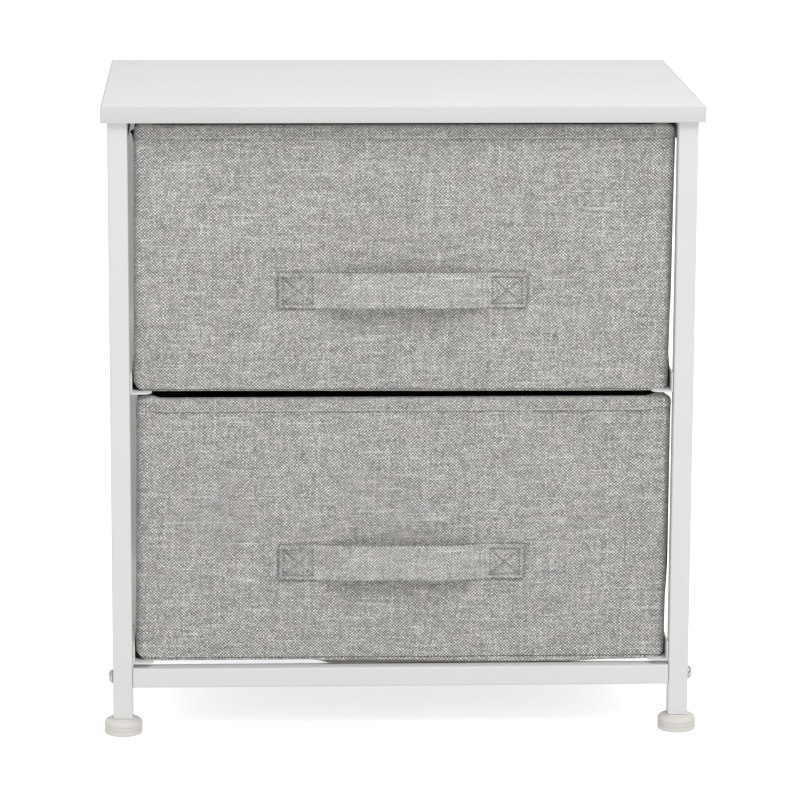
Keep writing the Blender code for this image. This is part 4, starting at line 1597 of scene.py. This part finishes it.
# Strap handle: two folded layers of the linen, sewn down at both ends, with painted shade at the sewn ends:
# darker patches and seam lines and a dark rim at the outer end and lower edge
handleSettings = {
    "thickness": 0.0018,
    "patch": 0.0275,
    "rise": 0.032,
    "edge": 0.0009,
    "edgeSteps": 4,
    "faceSteps": 34,
    "cup": 0.0006,
    "bow": 0.0016,
    "loose": 0.0004,
    "looseScale": (30.0, 9.0),
    "sway": 0.0003,
    "swayScale": (22.0, 7.0),
    "ripple": 0.00012,
    "rippleScale": (120.0, 90.0),
    "endPress": 0.075,
    "endRun": 0.0016,
    "stitchInset": 0.0036,
    "stitchFree": 0.0014,
    "threadSunk": 0.0001,
    "groove": 0.00035,
    "grooveWidth": 0.0007,
    "fineRun": 0.004,
    "fineStep": 0.0007,
    "coarseStep": 0.0020,
    # Painted shade on the strap: a dark rim at the outer ends and lower edge, darker sewn patches and seam
    # lines
    "rimShade": {"most": 2.0, "inward": (0.0013, 0.0005), "start": (-0.004, 0.001)},
    "sewnShade": {"patch": 0.42, "stitch": 0.75, "width": 0.0013, "start": (-0.001, 0.003)},
    "sewnFrom": -0.002,
}


def sewnLines(half, free, halfWidth, side):
    inset = handleSettings["stitchInset"]
    outerX = side * (half - inset)
    innerX = side * (free + handleSettings["stitchFree"])
    reach = halfWidth - inset
    patch = [(outerX, -reach), (outerX, reach), (innerX, reach), (innerX, -reach)]
    pairs = [(0, 1), (1, 2), (2, 3), (3, 0), (0, 2), (1, 3)]
    return [(Vector(patch[a]), Vector(patch[b])) for a, b in pairs]


def lineDistance(point, line):
    start, end = line
    run = end - start
    share = max(0.0, min(1.0, (point - start).dot(run) / run.length_squared))
    return (point - start - run * share).length


# A ramp that starts and ends a little before or after the strap's free part ends
def pastFree(free, start, away):
    return smoothStep(free + start[0], free + start[1], away)


# How far the seams pull a point of the strap in, and how much painted shade darkens the point at the sewn
# ends
def sewnDown(half, free, halfWidth, seams, x, depth, height):
    values = handleSettings
    rimShade = values["rimShade"]
    shade = values["sewnShade"]
    away = abs(x)
    rim = min(half - away, halfWidth + height)
    dark = rimShade["most"] * smoothStep(*rimShade["inward"], rim) * pastFree(free, rimShade["start"], away)
    if depth >= 0.0 or away <= free + values["sewnFrom"]:
        return 0.0, dark
    here = Vector((x, height))
    near = min(lineDistance(here, line) for line in seams[int(math.copysign(1, x))])
    stitched = shade["patch"] + shade["stitch"] * hump(0.0, shade["width"], near)
    pulled = values["groove"] * hump(0.0, values["grooveWidth"], near)
    return pulled, max(dark, stitched * pastFree(free, shade["start"], away))


def strapSection(halfWidth):
    values = handleSettings
    half = values["thickness"] / 2
    edge = values["edge"]
    steps = values["edgeSteps"]
    reach = halfWidth - edge
    section = []
    for start, x, z in ((0, 1, 1), (90, -1, 1), (180, -1, -1), (270, 1, -1)):
        section += arc(x * (half - edge), z * reach, edge, start, start + 90, steps)
        if start in (90, 270):
            shares = spaced(0.0, 1.0, 1 / values["faceSteps"])[1:-1]
            section += [(math.copysign(half, x), z * (reach - 2 * reach * share)) for share in shares]
    return section


def makeHandle(level, finishes):
    values = handleSettings
    low, high = handleBoxes[level]
    half = high.x
    thickness = values["thickness"]
    bulge = high.y - low.y - thickness
    middleZ = (low.z + high.z) / 2
    halfWidth = (high.z - low.z) / 2
    free = half - values["patch"]
    flatY = high.y - thickness / 2
    section = strapSection(halfWidth)
    seams = {side: sewnLines(half, free, halfWidth, side) for side in sideSigns.values()}
    stations = stretches(-half, [
        (-free + values["fineRun"], values["fineStep"]),
        (free - values["fineRun"], values["coarseStep"]),
        (half, values["fineStep"]),
    ])

    looseX, looseZ = values["looseScale"]
    swayX, swayZ = values["swayScale"]
    rippleX, rippleZ = values["rippleScale"]
    points = []
    uvs = []
    sewn = []
    run = 0.0
    previous = None
    for x in stations:
        away = abs(x)
        share = smoothStep(0.0, values["rise"], free - away)
        loose = noise.noise(Vector((x * looseX, middleZ * looseZ, 8.0)))
        sway = values["sway"] * noise.noise(Vector((x * swayX, 5.0, middleZ * swayZ)))
        y = flatY - bulge * share + values["loose"] * loose * share
        if previous is not None:
            run += math.dist(previous, (x, y))
        previous = (x, y)
        flatten = 1.0 - values["endPress"] * smoothStep(values["endRun"], 0.0, half - away)
        for (depth, height), girth in zip(section, girths(section)):
            cup = values["cup"] * share * (1.0 - (height / halfWidth) ** 2)
            ripple = values["ripple"] * noise.noise(Vector((x * rippleX, height * rippleZ, 3.0)))
            pulled, dark = sewnDown(half, free, halfWidth, seams, x, depth, height)
            placeZ = middleZ + height + sway + values["bow"] * share
            points.append(Vector((x, y + depth * flatten - cup - ripple + pulled, placeZ)))
            uvs.append((run, girth))
            sewn.append(dark)
    faces = tubeFaces(len(stations), len(section))
    strap = makePiece(level + "Handle", points, faces, finishes["handleLinen"], uvs, 55.0)
    # The 'sewn' mark holds the painted shade of the sewn ends, mottled in the material
    addMark(strap, "sewn", sewn)
    settle(strap, level + "_drawer", "handle_linen", level + "_drawer_handle")

    face = flatY - thickness / 2 + values["groove"] - values["threadSunk"]
    lines = [line for side in seams for line in seams[side]]
    return [[Vector((point.x, face, middleZ + point.y)) for point in line] for line in lines]


# Stitching of a drawer: the thread, its slot and the size of one stitch
stitchSettings = {
    "hem": {"thread": "paleThread", "slot": "drawer_linen",
            "Pitch": 0.0030, "Stitch Length": 0.0024, "Thread Radius": 0.00034, "Seed": 11},
    "handle": {"thread": "greyThread", "slot": "handle_linen",
               "Pitch": 0.0026, "Stitch Length": 0.0021, "Thread Radius": 0.00032, "Seed": 17},
    "seam": {"thread": "brownThread", "slot": "drawer_linen",
             "Pitch": 0.0030, "Stitch Length": 0.0029, "Thread Radius": 0.00036, "Seed": 19},
    "tape": {"thread": "blackThread", "slot": "drawer_nonwoven",
             "Pitch": 0.0034, "Stitch Length": 0.0027, "Thread Radius": 0.00026, "Seed": 23},
    "wall": {"thread": "blackThread", "slot": "drawer_nonwoven",
             "Pitch": 0.0036, "Stitch Length": 0.0029, "Thread Radius": 0.00030, "Seed": 29},
}


def coverStitchRows(level):
    values = coverSettings
    low, high = coverBoxes[level]
    hemRow = []
    seamRow = []
    ends = values["stitchEnds"]
    for x in spaced(low.x + ends, high.x - ends, values["stitchStep"]):
        z = coverTop(level) - values["hemDepth"] + values["hemStitch"] - hemWander(x)
        hemRow.append(Vector((x, low.y - frontSwell(level, x, z), z)))
        y = low.y - frontSwell(level, x, low.z + values["seamHome"])
        seamRow.append(Vector((x, y, low.z + seamHeight(level, x))))
    return hemRow, seamRow


def makeDrawer(level, finishes, stitchTree):
    makeFrontBoard(level, finishes)
    makeFrontCover(level, finishes)
    wallStitches = makeWalls(level, finishes)
    makeBottom(level, finishes)
    makeLining(level, finishes)
    tapeStitches = makeBinding(level, finishes)
    handleStitches = makeHandle(level, finishes)
    hemRow, seamRow = coverStitchRows(level)
    rows = {"hem": [hemRow], "handle": handleStitches, "seam": [seamRow], "tape": tapeStitches,
            "wall": wallStitches}
    for name, lines in rows.items():
        values = stitchSettings[name]
        if name != "handle":
            leanLines(lines, level)
        title = f"{level}{name.capitalize()}Stitches"
        stitches = makeStitches(title, stitchTree, lines, finishes[values["thread"]], values)
        settle(stitches, level + "_drawer", values["slot"])
    print(level, "drawer made")


# CAD nodes that keep their shape and take a finish
keptNodes = {
    "powderCoat": ("_leg", "_rail", "_crossbar", "_runner"),
    "blackNylon": ("_insert",),
    "fibreboard": ("_bottom_board",),
}


def finishKeptNodes(finishes):
    for name, node in nodes.items():
        for finish, endings in keptNodes.items():
            if name.endswith(endings):
                node.data.materials.clear()
                node.data.materials.append(finishes[finish])


# Floor: plain and white, with the stand's soft shadow
floorSettings = {"size": 40.0, "colour": (0.90, 0.90, 0.90, 1.0), "lift": 0.76, "drop": 0.0002}


def makeFloor():
    half = floorSettings["size"] / 2
    outline = [(-half, -half, 0), (half, -half, 0), (half, half, 0), (-half, half, 0)]
    floor = addMesh("floor", outline, (), [(0, 1, 2, 3)])
    material = bpy.data.materials.new("floorPaint")
    material.use_nodes = True
    tree = material.node_tree
    tree.nodes.clear()
    matte = addNode(tree, "ShaderNodeBsdfDiffuse", {"Color": floorSettings["colour"]})
    lift = times(tree, seenItself(tree), floorSettings["lift"])
    glow = addNode(tree, "ShaderNodeEmission", {"Strength": lift})
    both = addNode(tree, "ShaderNodeAddShader", {0: matte.outputs[0], 1: glow.outputs[0]})
    addNode(tree, "ShaderNodeOutputMaterial", {"Surface": both.outputs[0]})
    floor.data.materials.append(material)
    floor.location.z = -floorSettings["drop"]


makeCamera()
makeLights()
finishes = makeFinishes()
finishKeptNodes(finishes)
makeTopBoard(finishes)
fastenerTree = makeFastenerTree()
makeBolts(finishes, fastenerTree)
makeBoardScrews(finishes, fastenerTree)
makeFeet(finishes)
stitchTree = makeStitchTree()
for level in ("lower", "upper"):
    makeDrawer(level, finishes, stitchTree)
makeFloor()
